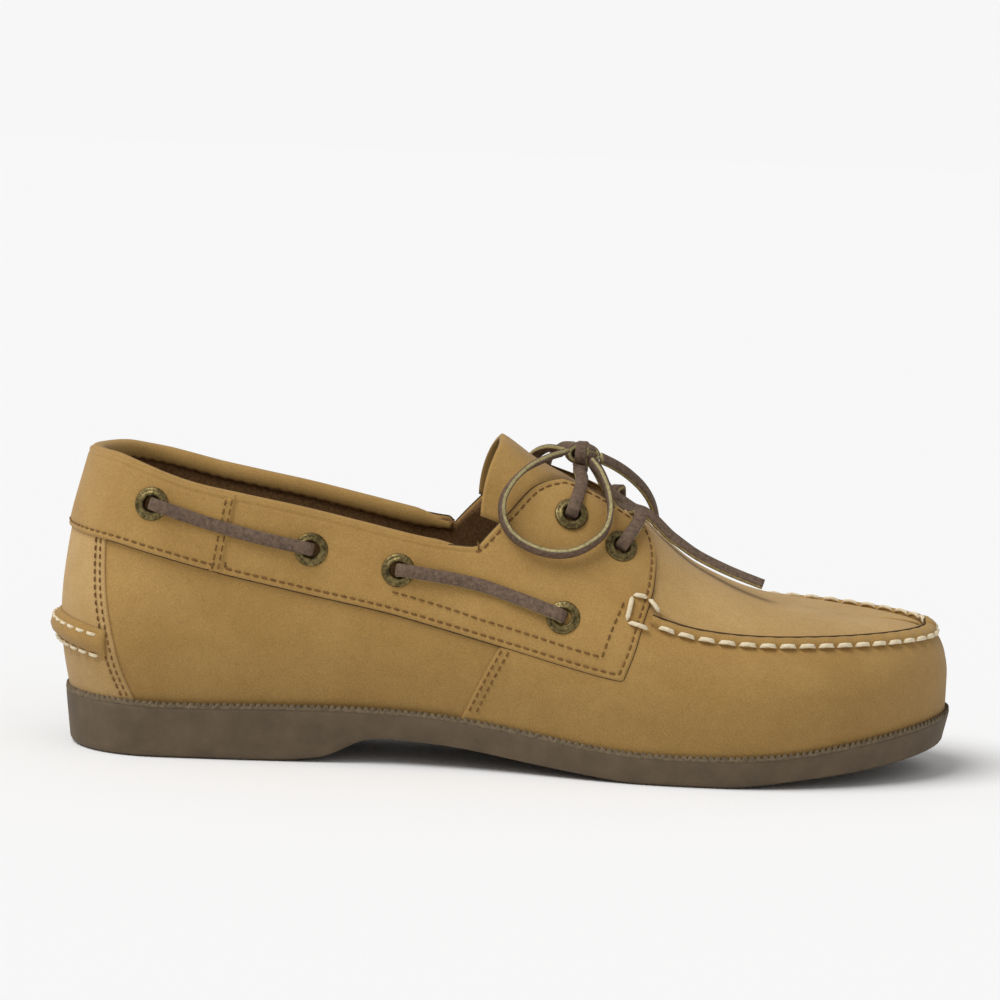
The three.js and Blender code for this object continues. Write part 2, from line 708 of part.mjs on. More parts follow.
// Eyelet with its flange over the leather and its barrel through both layers.
function eyelet(place) {
  const foot = -(overlayThickness + upperWall);
  const top = seatGap + eyeletFlange;
  const profile = [
    [eyeletHole / 2, foot],
    [eyeletHole / 2 + eyeletWall, foot],
    [eyeletHole / 2 + eyeletWall, seatGap],
    [eyeletDiameter / 2, seatGap],
    [eyeletDiameter / 2 - 0.5 * eyeletFlange, top],
    [eyeletHole / 2, top],
    [eyeletHole / 2, foot],
  ];
  const points = profile.map(([r, y]) => new THREE.Vector2(r, y));
  return aimedAlong(new THREE.LatheGeometry(points, roundSegments), place);
}

function eyeletBore(place) {
  const radius = eyeletHole / 2 + eyeletWall + seatGap;
  const length = 4 * (overlayThickness + upperWall);
  return aimedAlong(new THREE.CylinderGeometry(radius, radius, length, roundSegments), place);
}

// Point off the outer leather at a place, a distance out along its normal and one along a line.
function offPlace(place, out, along = new THREE.Vector3(), ahead = 0) {
  return place.point.clone().addScaledVector(place.normal, out).addScaledVector(along, ahead);
}

// Quarter turn of a lace between an eyelet's hole and the leather, as points with the side
// of the lace that faces away from the bend. face is 1 outside the shoe and -1 inside it.
function laceBendPoints(place, along, face, height) {
  const centre = offPlace(place, height - face * laceBend, along, laceBend);
  return [0, 30, 60, 90].map((degrees) => {
    const angle = THREE.MathUtils.degToRad(degrees);
    const up = along.clone().multiplyScalar(-Math.cos(angle))
      .addScaledVector(place.normal, face * Math.sin(angle));
    return { point: centre.clone().addScaledVector(up, laceBend), up };
  });
}

// Run of the lace over the face from one eyelet's hole to another's. A crossing run passes over
// the crown, and dips towards the tongue between the eyestays.
function laceRun(from, to, { face = 1, crossing = false, dip = 0, steps = 8 }) {
  const leatherDepth = overlayThickness + seatGap + upperWall;
  const lift = laceThickness / 2 + 1.5 * seatGap;
  const height = face > 0 ? seatGap + eyeletFlange + lift : -leatherDepth - lift;
  const rest = face > 0 ? seatGap + overlayThickness + lift : -upperWall - lift;
  const over = face > 0 ? height + overlayThickness + seatGap : rest;
  const spot = (share, out) => {
    if (!crossing) {
      const turn = THREE.MathUtils.lerp(from.turn, to.turn, share);
      return offsetPoint(turn, THREE.MathUtils.lerp(from.level, to.level, share), out);
    }
    const turn = THREE.MathUtils.lerp(from.turn, 2 - to.turn, share);
    const rise = Math.min(1, 1.25 * (1 - Math.abs(2 * share - 1)));
    const end = THREE.MathUtils.lerp(from.level, to.level, share);
    const here = share < 0.5 ? turn : 2 - turn;
    return offsetPoint(here, Math.min(THREE.MathUtils.lerp(end, 3, rise), 2.95), out);
  };
  const middle = shares(0, 1, steps).slice(1, -1).map((share) => {
    const ease = THREE.MathUtils.clamp(4 * Math.min(share, 1 - share) - 0.5, 0, 1);
    const across = Math.abs(spot(share, over).y);
    const low = dip * (1 - THREE.MathUtils.smoothstep(across, dipHalfWidth, 2 * dipHalfWidth));
    const out = crossing ? over - low : THREE.MathUtils.lerp(over, rest, ease);
    const up = spot(share, out + face).sub(spot(share, out)).normalize();
    return { point: spot(share, out), up };
  });
  const toward = (place, target) => {
    const line = target.point.clone().sub(place.point);
    return line.addScaledVector(place.normal, -line.dot(place.normal)).normalize();
  };
  const first = laceBendPoints(from, toward(from, middle[0]), face, height);
  const last = laceBendPoints(to, toward(to, middle[middle.length - 1]), face, height);
  return [...first, ...middle, ...last.reverse()];
}

// End of the lace inside an eyelet's barrel, turned as the run's nearest point is.
function laceEnd(place, nearest) {
  return { point: offPlace(place, -upperWall), up: nearest.up };
}

// Flat lace through points that carry the direction of its upper face.
function flatLace(path) {
  const rings = path.map(({ point, up }, i) => {
    const before = path[Math.max(i - 1, 0)].point;
    const after = path[Math.min(i + 1, path.length - 1)].point;
    const along = after.clone().sub(before).normalize();
    const across = along.clone().cross(up).normalize();
    const out = across.clone().cross(along).normalize();
    const corner = (a, b) => point.clone()
      .addScaledVector(across, (a * laceWidth) / 2)
      .addScaledVector(out, (b * laceThickness) / 2);
    return [corner(-1, 1), corner(1, 1), corner(1, -1), corner(-1, -1)];
  });
  return sweepSolid(rings);
}

// Round cord through a free route's points.
function roundCord(route) {
  const curve = new THREE.CatmullRomCurve3(route.map((point) => new THREE.Vector3(...point)));
  const section = new THREE.Shape();
  const sidesOfCord = 8;
  for (let i = 0; i < sidesOfCord; i += 1) {
    const angle = (2 * Math.PI * i) / sidesOfCord;
    const [x, y] = [(cordDiameter / 2) * Math.cos(angle), (cordDiameter / 2) * Math.sin(angle)];
    if (i === 0) section.moveTo(x, y);
    else section.lineTo(x, y);
  }
  section.closePath();
  const steps = Math.round(curve.getLength() / (2.2 * cordDiameter));
  return solidFrom(new THREE.ExtrudeGeometry(section, { steps, extrudePath: curve, curveSegments: 1 }));
}

function knot() {
  const ball = new THREE.SphereGeometry(0.5, 10, 6);
  ball.scale(...knotSize);
  ball.translate(...knotCentre);
  return solidFrom(ball);
}

const leather = 0x9a7947;
const lining = 0x4a3426;
const rubber = 0x655848;
const brass = 0x8a7343;
const laceBrown = 0x6e5a48;

const openings = collarSpace(outerSide).add(collarSpace(innerSide));
const upperLevels = [...wallLevels, ...crownLevels];
const sides = [{ side: outerSide, name: "outer" }, { side: innerSide, name: "inner" }];

const eyelets = sides.flatMap(({ side, name }) =>
  eyeletRows.map((row) => ({
    name: `${row.name}_${name}`,
    ...placeOnSide(side, row.at * soleLength, THREE.MathUtils.lerp(seamHeight, instepHeight, row.up)),
  })));
const bores = eyelets.map(eyeletBore).reduce((all, bore) => all.add(bore));

const overlayTo = seatGap + overlayThickness;
const overlay = shellSolid(seatGap, overlayTo, upperLevels).subtract(openings).subtract(bores);

// Seam between the collar band's heel part and the eyestays, drawn from the side.
function bandSeam(shift) {
  const low = bandHeight(bandSeamAt) - overlayThickness;
  return [
    [bandSeamAt * soleLength + shift, low],
    [bandSeamAt * soleLength + bandSeamLean + shift, above],
  ];
}

function collarBand() {
  const outline = [
    [-beyond, bandHeight(0)],
    ...shares(0, bandSeamAt, 6).map((at) => [at * soleLength, bandHeight(at)]),
    ...bandSeam(-seatGap / 2).slice(1),
    [-beyond, above],
  ];
  return overlay.intersect(sidePrism(outline, ...reachOf()));
}

function eyestay(side) {
  const front = edgePoints(stayFrontRows, 0);
  const low = shares(bandSeamAt, front[0][0] / soleLength, 14).slice(0, -1);
  const edge = low.map((at) => [at * soleLength, bandHeight(at)]);
  edge[0][0] += seatGap / 2;
  const [, seamTop] = bandSeam(seatGap / 2);
  const tip = front[front.length - 1];
  const outline = [...edge, ...front, [tip[0], above], seamTop];
  const throat = throatSpace(0, throatFront + throatHalfWidth);
  return overlay.subtract(throat).intersect(sidePrism(outline, ...reachOf(side)));
}

// Leather that backs the heel, from the collar band down to the sole's rim.
function heelCounter() {
  const seam = counterRows.map((row) => [
    row.at * soleLength,
    THREE.MathUtils.lerp(soleHeelHeight, bandHeight(0), row.up),
  ]);
  const low = shares(0, counterRows[0].at, 3);
  const high = shares(counterRows[counterRows.length - 1].at, 0, 3);
  const outline = [
    [-beyond, soleTop(0) + seatGap],
    ...low.map((at) => [at * soleLength, soleTop(at) + seatGap]),
    ...seam.slice(1, -1),
    ...high.map((at) => [at * soleLength, bandHeight(at) - seatGap]),
    [-beyond, bandHeight(0) - seatGap],
  ];
  return overlay.intersect(sidePrism(outline, ...reachOf()));
}

// Padded strip round the heel over the counter, ending at its seams.
function heelStrip() {
  const out = overlayTo + seatGap;
  const half = heelStripWidth / 2;
  const profile = [
    { across: 0, out },
    { across: half, out },
    { across: 0.7 * half, out: out + 0.75 * heelStripRise },
    { across: 0.1 * half, out: out + heelStripRise },
    { across: -0.6 * half, out: out + 0.7 * heelStripRise },
    { across: -half, out },
  ];
  const end = Math.acos(1 - 2 * heelStripAt) / Math.PI;
  const steps = 2 * Math.round(end * stationsPerSide);
  const levelAt = (turn) => {
    const at = shareOf(turn);
    const base = soleTop(at) - rimHeight + seatGap;
    const height = heelStripHeight - heelStripFall * (at / heelStripAt);
    const belly = lastPoint(turn, 1).z;
    return height < belly ? (height - base) / (belly - base) : 1;
  };
  return faceStrip(-end, end, steps, levelAt, profile);
}

// Raised seam where the plug is drawn together with the vamp.
const seamProfile = [
  { across: 0, out: seatGap },
  { across: seamWidth / 2, out: seatGap },
  { across: 0.42 * seamWidth, out: seatGap + 0.7 * seamRise },
  { across: 0.12 * seamWidth, out: seatGap + seamRise },
  { across: -0.25 * seamWidth, out: seatGap + 0.9 * seamRise },
  { across: -0.42 * seamWidth, out: seatGap + 0.45 * seamRise },
  { across: -seamWidth / 2, out: seatGap },
];

function moccasinSeam() {
  const start = Math.acos(1 - 2 * seamStartAt) / Math.PI;
  const steps = 3 * Math.round((1 - start) * stationsPerSide);
  return faceStrip(start, 2 - start, steps, () => 2, seamProfile);
}

// Plug inside the seam, tucked against the front edges of the eyestays.
function plug() {
  const cover = shellSolid(seatGap, seatGap + plugThickness, crownLevels);
  const front = edgePoints(stayFrontRows, -seatGap);
  const tip = front[front.length - 1];
  const ahead = [...front, [tip[0], above], [soleLength, above], [soleLength, 0]];
  const half = throatHalfWidth - seatGap;
  const [rear, lap] = [throatFront + plugLap, tip[0] + plugLap];
  const between = planPrism([[rear, -half], [lap, -half], [lap, half], [rear, half]], 0, above);
  return cover.intersect(sidePrism(ahead, ...reachOf()).add(between));
}

// The tongue lies under the eyestays and is sewn below the front of the throat.
function tongue() {
  const outer = -(upperWall + seatGap);
  return shellSolid(outer - tongueThickness, outer, upperLevels)
    .intersect(sidePrism(edgePoints(tongueRows, 0), -tongueHalfWidth, tongueHalfWidth));
}

const upper = shellSolid(-upperWall, 0, upperLevels)
  .subtract(openings)
  .subtract(throatSpace(stayOverhang))
  .subtract(bores);

addPiece("outsole", outsole(), rubber, 0.85);
addPiece("insole", insole(), lining, 0.9);
addPiece("upper", upper, leather, 0.75);
addPiece("tongue", tongue(), leather, 0.8);
addPiece("plug", plug(), leather, 0.75);
addPiece("moccasin_seam", moccasinSeam(), leather, 0.75);
addPiece("collar_band", collarBand(), leather, 0.75);
sides.forEach(({ side, name }) => addPiece(`eyestay_${name}`, eyestay(side), leather, 0.75));
addPiece("heel_counter", heelCounter(), leather, 0.75);
addPiece("heel_strip", heelStrip(), leather, 0.75);
eyelets.forEach((place) => addPiece(place.name, eyelet(place), brass, 0.45, 0.9));

// Each side's lace: a bar outside from the heel's eyelet, a run inside and a second bar outside.
function sideLace(name) {
  const at = (which) => eyelets.find((place) => place.name === `eyelet_${which}_${name}`);
  const [heel, quarter, waist, vamp] = ["heel", "quarter", "waist", "vamp"].map(at);
  const run = [
    ...laceRun(heel, quarter, {}),
    ...laceRun(quarter, waist, { face: -1, steps: 4 }),
    ...laceRun(waist, vamp, {}),
  ];
  return flatLace([laceEnd(heel, run[0]), ...run, laceEnd(vamp, run[run.length - 1])]);
}

// Bar over the throat between two facing eyelets.
function throatBar(which, dip) {
  const [outer, inner] = sides.map(({ name }) =>
    eyelets.find((place) => place.name === `eyelet_${which}_${name}`));
  const run = laceRun(outer, inner, { crossing: true, dip, steps: 14 });
  return flatLace([laceEnd(outer, run[0]), ...run, laceEnd(inner, run[run.length - 1])]);
}

sides.forEach(({ name }) => addPiece(`lace_side_${name}`, sideLace(name), laceBrown, 0.85));
addPiece("lace_bar_throat", throatBar("throat", 0), laceBrown, 0.85);
addPiece("lace_bar_instep", throatBar("instep", barDip), laceBrown, 0.85);
const tied = knot().add(roundCord(outerEndRoute)).add(roundCord(innerEndRoute));
addPiece("lace_knot", tied, laceBrown, 0.85);
addPiece("lace_loop_outer", roundCord(outerLoopRoute), laceBrown, 0.85);
addPiece("lace_loop_inner", roundCord(innerLoopRoute), laceBrown, 0.85);

model.position.x = -originFromBack;
export default model;
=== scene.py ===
# Right boat shoe in tan nubuck, with rawhide laces and a rubber cup sole.
import math

import bpy
import numpy as np
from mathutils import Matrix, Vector
from mathutils.geometry import delaunay_2d_cdt


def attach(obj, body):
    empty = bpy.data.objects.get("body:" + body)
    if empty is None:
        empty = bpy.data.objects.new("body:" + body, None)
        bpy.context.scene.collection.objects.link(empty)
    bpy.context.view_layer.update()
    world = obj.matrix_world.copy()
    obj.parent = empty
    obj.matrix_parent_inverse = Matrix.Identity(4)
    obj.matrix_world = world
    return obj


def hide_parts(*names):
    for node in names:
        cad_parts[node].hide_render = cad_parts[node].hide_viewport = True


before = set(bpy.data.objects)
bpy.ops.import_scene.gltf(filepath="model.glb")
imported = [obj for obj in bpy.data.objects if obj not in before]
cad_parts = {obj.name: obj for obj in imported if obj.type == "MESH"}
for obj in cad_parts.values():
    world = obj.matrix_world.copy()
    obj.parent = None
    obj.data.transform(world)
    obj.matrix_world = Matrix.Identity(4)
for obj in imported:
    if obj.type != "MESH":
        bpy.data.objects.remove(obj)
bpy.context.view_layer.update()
print("frame loaded")

body = "root"
mm = 0.001

# Main sizes in millimetres. X runs forward from the back of the sole, Y to the inner side.
shoe = {
    "soleLength": 298, "ballWidth": 104, "heelWidth": 69, "toeShift": 5,
    "heelHeight": 19.3, "foreHeight": 10.7, "toeRise": 10.9, "toeSpring": 9.6, "archRise": 8.3,
    "rimHeight": 1.2, "seatGap": 0.3, "featherInset": 2.6,
    "upperWall": 2, "overlay": 1.6, "collarBack": 99, "collarLow": 73.8, "collarInnerLift": 2.4,
    "instepHeight": 97, "toeBoxHeight": 48, "seamHeight": 45.5, "seamInnerLift": 4.6,
    "heelCap": 0.113, "toeCap": 0.27, "spineBack": 0.2, "spineFront": 0.88, "originFromBack": 38,
}

# Share of the length, half widths outer and inner, lean of the centre line
outlineRows = np.array([
    [0, 0.5, 0.5, 0], [0.16, 0.5, 0.495, 0], [0.3, 0.475, 0.43, 0], [0.4, 0.447, 0.37, 0],
    [0.5, 0.442, 0.365, 0.03], [0.6, 0.478, 0.425, 0.12], [0.68, 0.512, 0.462, 0.28],
    [0.76, 0.528, 0.478, 0.48], [0.84, 0.535, 0.49, 0.7], [1, 0.53, 0.49, 1],
])

# Share of the length, then heel, rise, arch and spring of the sole
soleRows = np.array([
    [0, 1.02, 0, 0, 0], [0.05, 0.99, 0, 0, 0], [0.13, 0.93, 0, 0, 0], [0.22, 0.98, 0, 0, 0],
    [0.295, 1, 0, 0.2, 0], [0.345, 0.99, 0, 0.96, 0], [0.4, 0.93, 0, 0.96, 0],
    [0.45, 0.8, 0, 0.82, 0], [0.52, 0.49, 0, 0.46, 0], [0.58, 0.2, 0, 0.2, 0],
    [0.64, 0.02, 0, 0, 0], [0.74, 0, 0.02, 0, 0], [0.82, 0, 0.18, 0, 0.26],
    [0.9, 0, 0.53, 0, 0.54], [1, 0, 1, 0, 1],
])

# Share of the length, belly inset outer and inner, belly height, shoulder inset outer and
# inner, fall and lift of the shoulder, lean and spread of the wall in degrees, and swell
railRows = np.array([
    [0, -0.008, -0.008, 0.31, 0.092, 0.092, -0.08, 0, 13, 16, 0.5],
    [0.1, -0.006, -0.006, 0.31, 0.056, 0.056, 0, 0.5, 10, 14, 0.5],
    [0.2, 0, -0.004, 0.33, 0.04, 0.04, 0.13, 0.5, 8, 10, 0.5],
    [0.3, -0.012, -0.03, 0.36, 0.038, 0.012, 0.24, 0.5, 8, 9, 0.5],
    [0.4, -0.012, -0.045, 0.38, 0.05, 0, 0.36, 0.6, 10, 10, 0.54],
    [0.46, 0, -0.03, 0.39, 0.07, 0.02, 0.44, 0.6, 13, 13, 0.58],
    [0.5, 0.006, -0.02, 0.39, 0.08, 0.04, 0.53, 0.7, 16, 16, 0.62],
    [0.55, 0.01, 0, 0.4, 0.09, 0.07, 0.66, 0.8, 20, 20, 0.64],
    [0.6, 0.012, 0.01, 0.41, 0.1, 0.09, 0.79, 0.9, 27, 27, 0.64],
    [0.65, 0.014, 0.014, 0.42, 0.11, 0.105, 0.9, 1, 38, 38, 0.58],
    [0.7, 0.014, 0.014, 0.43, 0.115, 0.112, 0.97, 1, 48, 54, 0.48],
    [0.77, 0.013, 0.013, 0.44, 0.115, 0.115, 1, 1, 50, 66, 0.4],
    [0.87, 0.014, 0.014, 0.44, 0.106, 0.106, 1, 0.9, 50, 70, 0.4],
    [1, 0.024, 0.024, 0.44, 0.078, 0.078, 0.98, 0.25, 45, 72, 0.4],
])

# Share of the length with the rise of the crown, the drop of the collar and that of the band
crownRows = np.array([
    [0, 1.7], [0.3, 1.62], [0.42, 1.48], [0.484, 1.3], [0.524, 1.12], [0.56, 1], [0.604, 0.85],
    [0.638, 0.71], [0.665, 0.56], [0.708, 0.37], [0.782, 0.18], [0.86, 0.08], [0.93, 0.03], [1, 0],
])
collarRows = np.array([
    [0, 0], [0.045, 0.02], [0.09, 0.14], [0.145, 0.34], [0.2, 0.465], [0.265, 0.605],
    [0.33, 0.77], [0.4, 0.945], [0.445, 1], [0.5, 1],
])
bandRows = np.array([
    [0, 0.495], [0.06, 0.53], [0.1, 0.58], [0.15, 0.65], [0.19, 0.7], [0.27, 0.79],
    [0.36, 0.885], [0.41, 0.95], [0.5, 1.075], [0.6, 1.2], [0.64, 1.23],
])


def alongRows(rows, column, at):
    x, y = rows[:, 0], rows[:, column]
    slope = np.gradient(y, x, edge_order=1)
    slope[1:-1] = (y[2:] - y[:-2]) / (x[2:] - x[:-2])
    i = np.clip(np.searchsorted(x, at, side="right") - 1, 0, len(x) - 2)
    span = x[i + 1] - x[i]
    t = np.clip((at - x[i]) / span, 0, 1)
    ease = t * t * (3 - 2 * t)
    rise = t * (1 - t) * ((1 - t) * slope[i] - t * slope[i + 1]) * span
    return y[i] + (y[i + 1] - y[i]) * ease + rise


def smoothStep(value, low, high):
    t = np.clip((value - low) / (high - low), 0, 1)
    return t * t * (3 - 2 * t)


def mix(a, b, share):
    return a + (b - a) * share


def unit(vectors):
    return vectors / np.maximum(np.linalg.norm(vectors, axis=-1, keepdims=True), 1e-9)


def pathLengths(line):
    return np.concatenate([[0], np.cumsum(np.linalg.norm(np.diff(line, axis=0), axis=1))])


def sideName(inner):
    return "Inner" if inner else "Outer"


# A turn runs from the heel round the outer side to the toe at 1, and back on the inner side
def shareOf(turn):
    return (1 - np.cos(np.pi * np.asarray(turn, float))) / 2


def turnOf(at):
    return np.arccos(1 - 2 * np.asarray(at, float)) / np.pi


def outlinePoints(inner, at):
    width = mix(shoe["heelWidth"], shoe["ballWidth"], smoothStep(at, 0.28, 0.66))
    heel = np.clip(1 - at / shoe["heelCap"], 0, 1)
    toe = np.clip(1 - (1 - at) / shoe["toeCap"], 0, 1)
    cap = np.sqrt(np.maximum((1 - heel ** 2.1) * (1 - toe ** 1.85), 0))
    half = np.where(inner, alongRows(outlineRows, 2, at), alongRows(outlineRows, 1, at)) * width * cap
    centre = alongRows(outlineRows, 3, at) * shoe["toeShift"]
    return np.stack([at * shoe["soleLength"], centre + np.where(inner, half, -half)], -1)


def inwardNormals(turn):
    step = 1e-4
    before, after = np.mod(turn - step, 2), np.mod(turn + step, 2)
    along = unit(outlinePoints(after > 1, shareOf(after)) - outlinePoints(before > 1, shareOf(before)))
    return np.stack([-along[..., 1], along[..., 0]], -1)


def soleTop(at):
    heel = alongRows(soleRows, 1, at) * (shoe["heelHeight"] - shoe["foreHeight"])
    return shoe["foreHeight"] + heel + alongRows(soleRows, 2, at) * shoe["toeRise"]


def soleBottom(at):
    arch = alongRows(soleRows, 3, at) * shoe["archRise"]
    return np.maximum(arch + alongRows(soleRows, 4, at) * shoe["toeSpring"], 0)


def crownHeight(at):
    rise = alongRows(crownRows, 1, at)
    return shoe["toeBoxHeight"] + rise * (shoe["instepHeight"] - shoe["toeBoxHeight"])


def spineShare(at):
    middle = 0.55
    ahead = at > middle
    reach = np.where(ahead, 1 - middle, middle)
    length = np.where(ahead, shoe["spineFront"] - middle, middle - shoe["spineBack"])
    t = np.abs(at - middle) / reach
    start = reach / length
    eased = start * t + (3 - 2 * start) * t ** 2 + (start - 2) * t ** 3
    return middle + np.where(ahead, 1, -1) * eased * length


def bezier(points, t):
    s = 1 - t
    weights = [s ** 3, 3 * s * s * t, 3 * s * t * t, t ** 3]
    return sum(point * weight[..., None] for point, weight in zip(points, weights))


# Lengths of the handles that bend the upper's curves, as shares of the way to the next point
handles = {"foot": 0.35, "footSwell": 0.6, "bellyFoot": 0.4, "bellyHead": 0.42, "shoulder": 0.36, "crown": 0.5}


# Points of the upper's outer face. Level 0 is the feather line, 1 the belly, 2 the shoulder
# with the moccasin seam and the collar, and 3 the crown.
def lastPoints(turn, level):
    turn, level = np.broadcast_arrays(np.mod(turn, 2.0), np.asarray(level, float))
    inner = turn > 1
    at = shareOf(turn)
    edge = outlinePoints(inner, at)
    inward = inwardNormals(turn)
    row = lambda column: alongRows(railRows, column, at)
    sided = lambda outer: np.where(inner, row(outer + 1), row(outer)) * shoe["ballWidth"]
    place = lambda inset, height: np.concatenate([edge + inward * inset[..., None], height[..., None]], -1)

    def direction(degrees):
        angle = np.radians(degrees)
        return np.concatenate([inward * np.sin(angle)[..., None], np.cos(angle)[..., None]], -1)

    base = soleTop(at) - shoe["rimHeight"] + shoe["seatGap"]
    lift = np.where(inner, row(7) * shoe["seamInnerLift"], 0)
    shoulderHeight = mix(shoe["collarBack"], shoe["seamHeight"], row(6)) + lift
    shoulder = place(sided(4), shoulderHeight)
    bellyHeight = base + row(3) * (shoulderHeight - base)
    belly = place(sided(1), bellyHeight)
    feather = place(np.full(at.shape, float(shoe["featherInset"])), base)
    upright = np.array([0.0, 0.0, 1.0])
    low = (bellyHeight - base)[..., None] * upright
    swell = (belly - feather) * np.array([1.0, 1.0, 0.0])
    foot = feather + handles["foot"] * low + handles["footSwell"] * swell
    lower = bezier([feather, foot, belly - handles["bellyFoot"] * low, belly], np.clip(level, 0, 1))
    high = (shoulderHeight - bellyHeight)[..., None] * upright
    reach = np.linalg.norm(shoulder - belly, axis=-1)[..., None]
    arrive = shoulder - direction(row(8)) * handles["shoulder"] * reach
    middle = bezier([belly, belly + handles["bellyHead"] * high, arrive, shoulder], np.clip(level - 1, 0, 1))
    crownAt = spineShare(at)
    centre = alongRows(outlineRows, 3, crownAt) * shoe["toeShift"]
    crown = np.stack([crownAt * shoe["soleLength"], centre, crownHeight(crownAt)], -1)
    step = 0.01
    slope = (crownHeight(crownAt + step) - crownHeight(crownAt - step)) / (2 * step * shoe["soleLength"])
    outward = shoulder - crown
    outward[..., 2] = outward[..., 0] * slope
    reach = (row(10) * np.linalg.norm(shoulder - crown, axis=-1))[..., None]
    leave = shoulder + direction(row(9)) * reach
    arrive = crown + handles["crown"] * outward
    upper = bezier([shoulder, leave, arrive, crown], np.clip(level - 2, 0, 1))
    below = (level <= 1)[..., None]
    between = (level <= 2)[..., None]
    return np.where(below, lower, np.where(between, middle, upper))


# Soft dents of a worn-in upper: place in X, Y and Z, reach along X and up, and depth
dentWidth = 22
dents = [
    [96, -36, 34, 26, 12, 1.0], [132, -38, 58, 20, 8, 0.6], [68, -36, 52, 16, 9, 0.5],
    [208, -47, 34, 18, 9, 0.7], [171, -33, 78, 15, 8, 0.7], [150, -40, 46, 12, 7, 0.5],
    [247, 4, 50, 20, 9, 0.9], [225, -12, 56, 14, 9, 0.5], [120, 34, 40, 24, 12, 0.9],
    [205, 46, 34, 18, 9, 0.7], [12, 0, 62, 14, 9, 0.5], [262, -28, 30, 12, 8, 0.4],
]


def dentDepth(points):
    depth = np.zeros(points.shape[:-1])
    for x, y, z, along, up, deep in dents:
        near = ((points[..., 0] - x) / along) ** 2 + ((points[..., 2] - z) / up) ** 2
        near = near + ((points[..., 1] - y) / dentWidth) ** 2
        depth += deep * np.exp(-near)
    return depth


def faceNormals(turn, level):
    step = 0.004
    near = np.clip(level, step, 2.96)
    along = lastPoints(turn + step, near) - lastPoints(turn - step, near)
    up = lastPoints(turn, near + step) - lastPoints(turn, near - step)
    normal = np.cross(along, up)
    normal[..., 2] = np.where(np.asarray(level) == 0, 0, normal[..., 2])
    return unit(normal)


# Points a distance out from the upper's face, with its dents pressed in
def facePoints(turn, level, out):
    turn, level, out = np.broadcast_arrays(*[np.asarray(v, float) for v in (turn, level, out)])
    points = lastPoints(turn, level)
    return points + faceNormals(turn, level) * (out - dentDepth(points))[..., None]


# Flat pattern of each side: millimetres along the belly and millimetres up the face
tableTurns = np.linspace(-1, 3, 801)
tableLevels = np.linspace(0, 3, 91)
bellyLine = lastPoints(tableTurns, 1.0)
alongTable = pathLengths(bellyLine)
alongTable -= np.interp(0, tableTurns, alongTable)
surfaceTable = lastPoints(tableTurns[:, None], tableLevels[None, :])
upSteps = np.linalg.norm(np.diff(surfaceTable, axis=1), axis=2)
upTable = np.concatenate([np.zeros((len(tableTurns), 1)), np.cumsum(upSteps, axis=1)], axis=1)
heightTable = np.maximum.accumulate(surfaceTable[..., 2], axis=1)


def tableRow(table, turn):
    place = (np.asarray(turn) + 1) / (tableTurns[1] - tableTurns[0])
    i = np.clip(place.astype(int), 0, len(tableTurns) - 2)
    part = (place - i)[..., None]
    return table[i] * (1 - part) + table[i + 1] * part


# Level at which each row reaches a value
def levelInRow(rows, value):
    i = np.clip((rows < value[:, None]).sum(1) - 1, 0, len(tableLevels) - 2)
    low = np.take_along_axis(rows, i[:, None], 1)[:, 0]
    high = np.take_along_axis(rows, i[:, None] + 1, 1)[:, 0]
    part = np.clip((value - low) / np.maximum(high - low, 1e-6), 0, 1)
    return (i + part) * (tableLevels[1] - tableLevels[0])


def levelAtHeight(turn, height):
    turn, height = np.broadcast_arrays(np.asarray(turn, float), np.asarray(height, float))
    return levelInRow(tableRow(heightTable, turn), height)


def toFlat(turn, level):
    rows = tableRow(upTable, turn)
    place = np.clip(level, 0, 3) / (tableLevels[1] - tableLevels[0])
    i = np.clip(place.astype(int), 0, len(tableLevels) - 2)
    low = np.take_along_axis(rows, i[:, None], 1)[:, 0]
    high = np.take_along_axis(rows, i[:, None] + 1, 1)[:, 0]
    return np.stack([np.interp(turn, tableTurns, alongTable), low + (high - low) * (place - i)], -1)


def fromFlat(flat):
    turn = np.interp(flat[:, 0], alongTable, tableTurns)
    return turn, levelInRow(tableRow(upTable, turn), flat[:, 1])


# Turn and level where the face lies at given values of X and Z, or of X and Y
def locate(inner, a, b, axes=(0, 2), out=1.9):
    a, b = np.asarray(a, float), np.asarray(b, float)
    turns = np.linspace(0.02, 0.98, 121) + (1 if inner else 0)
    levels = np.linspace(0.05, 2.93, 90)
    grid = facePoints(turns[:, None], levels[None, :], out)
    miss = (grid[..., axes[0]][None] - a[:, None, None]) ** 2
    miss = miss + (grid[..., axes[1]][None] - b[:, None, None]) ** 2
    best = miss.reshape(len(a), -1).argmin(1)
    turn, level = turns[best // 90].copy(), levels[best % 90].copy()
    step = 1e-3
    for _ in range(10):
        here = facePoints(turn, level, out)
        byTurn = (facePoints(turn + step, level, out) - here) / step
        byLevel = (facePoints(turn, level + step, out) - here) / step
        da, db = a - here[:, axes[0]], b - here[:, axes[1]]
        ta, tb = byTurn[:, axes[0]], byTurn[:, axes[1]]
        la, lb = byLevel[:, axes[0]], byLevel[:, axes[1]]
        det = ta * lb - la * tb
        det = np.where(np.abs(det) < 1e-3, 1e-3, det)
        turn += np.clip((da * lb - db * la) / det, -0.02, 0.02)
        level = np.clip(level + np.clip((db * ta - da * tb) / det, -0.1, 0.1), 0.01, 2.97)
    return turn, level


def resample(points, step):
    points = np.asarray(points, float)
    lengths = pathLengths(points)
    count = max(int(round(lengths[-1] / step)), 1)
    at = np.linspace(0, lengths[-1], count + 1)
    return np.stack([np.interp(at, lengths, points[:, k]) for k in range(points.shape[1])], -1)


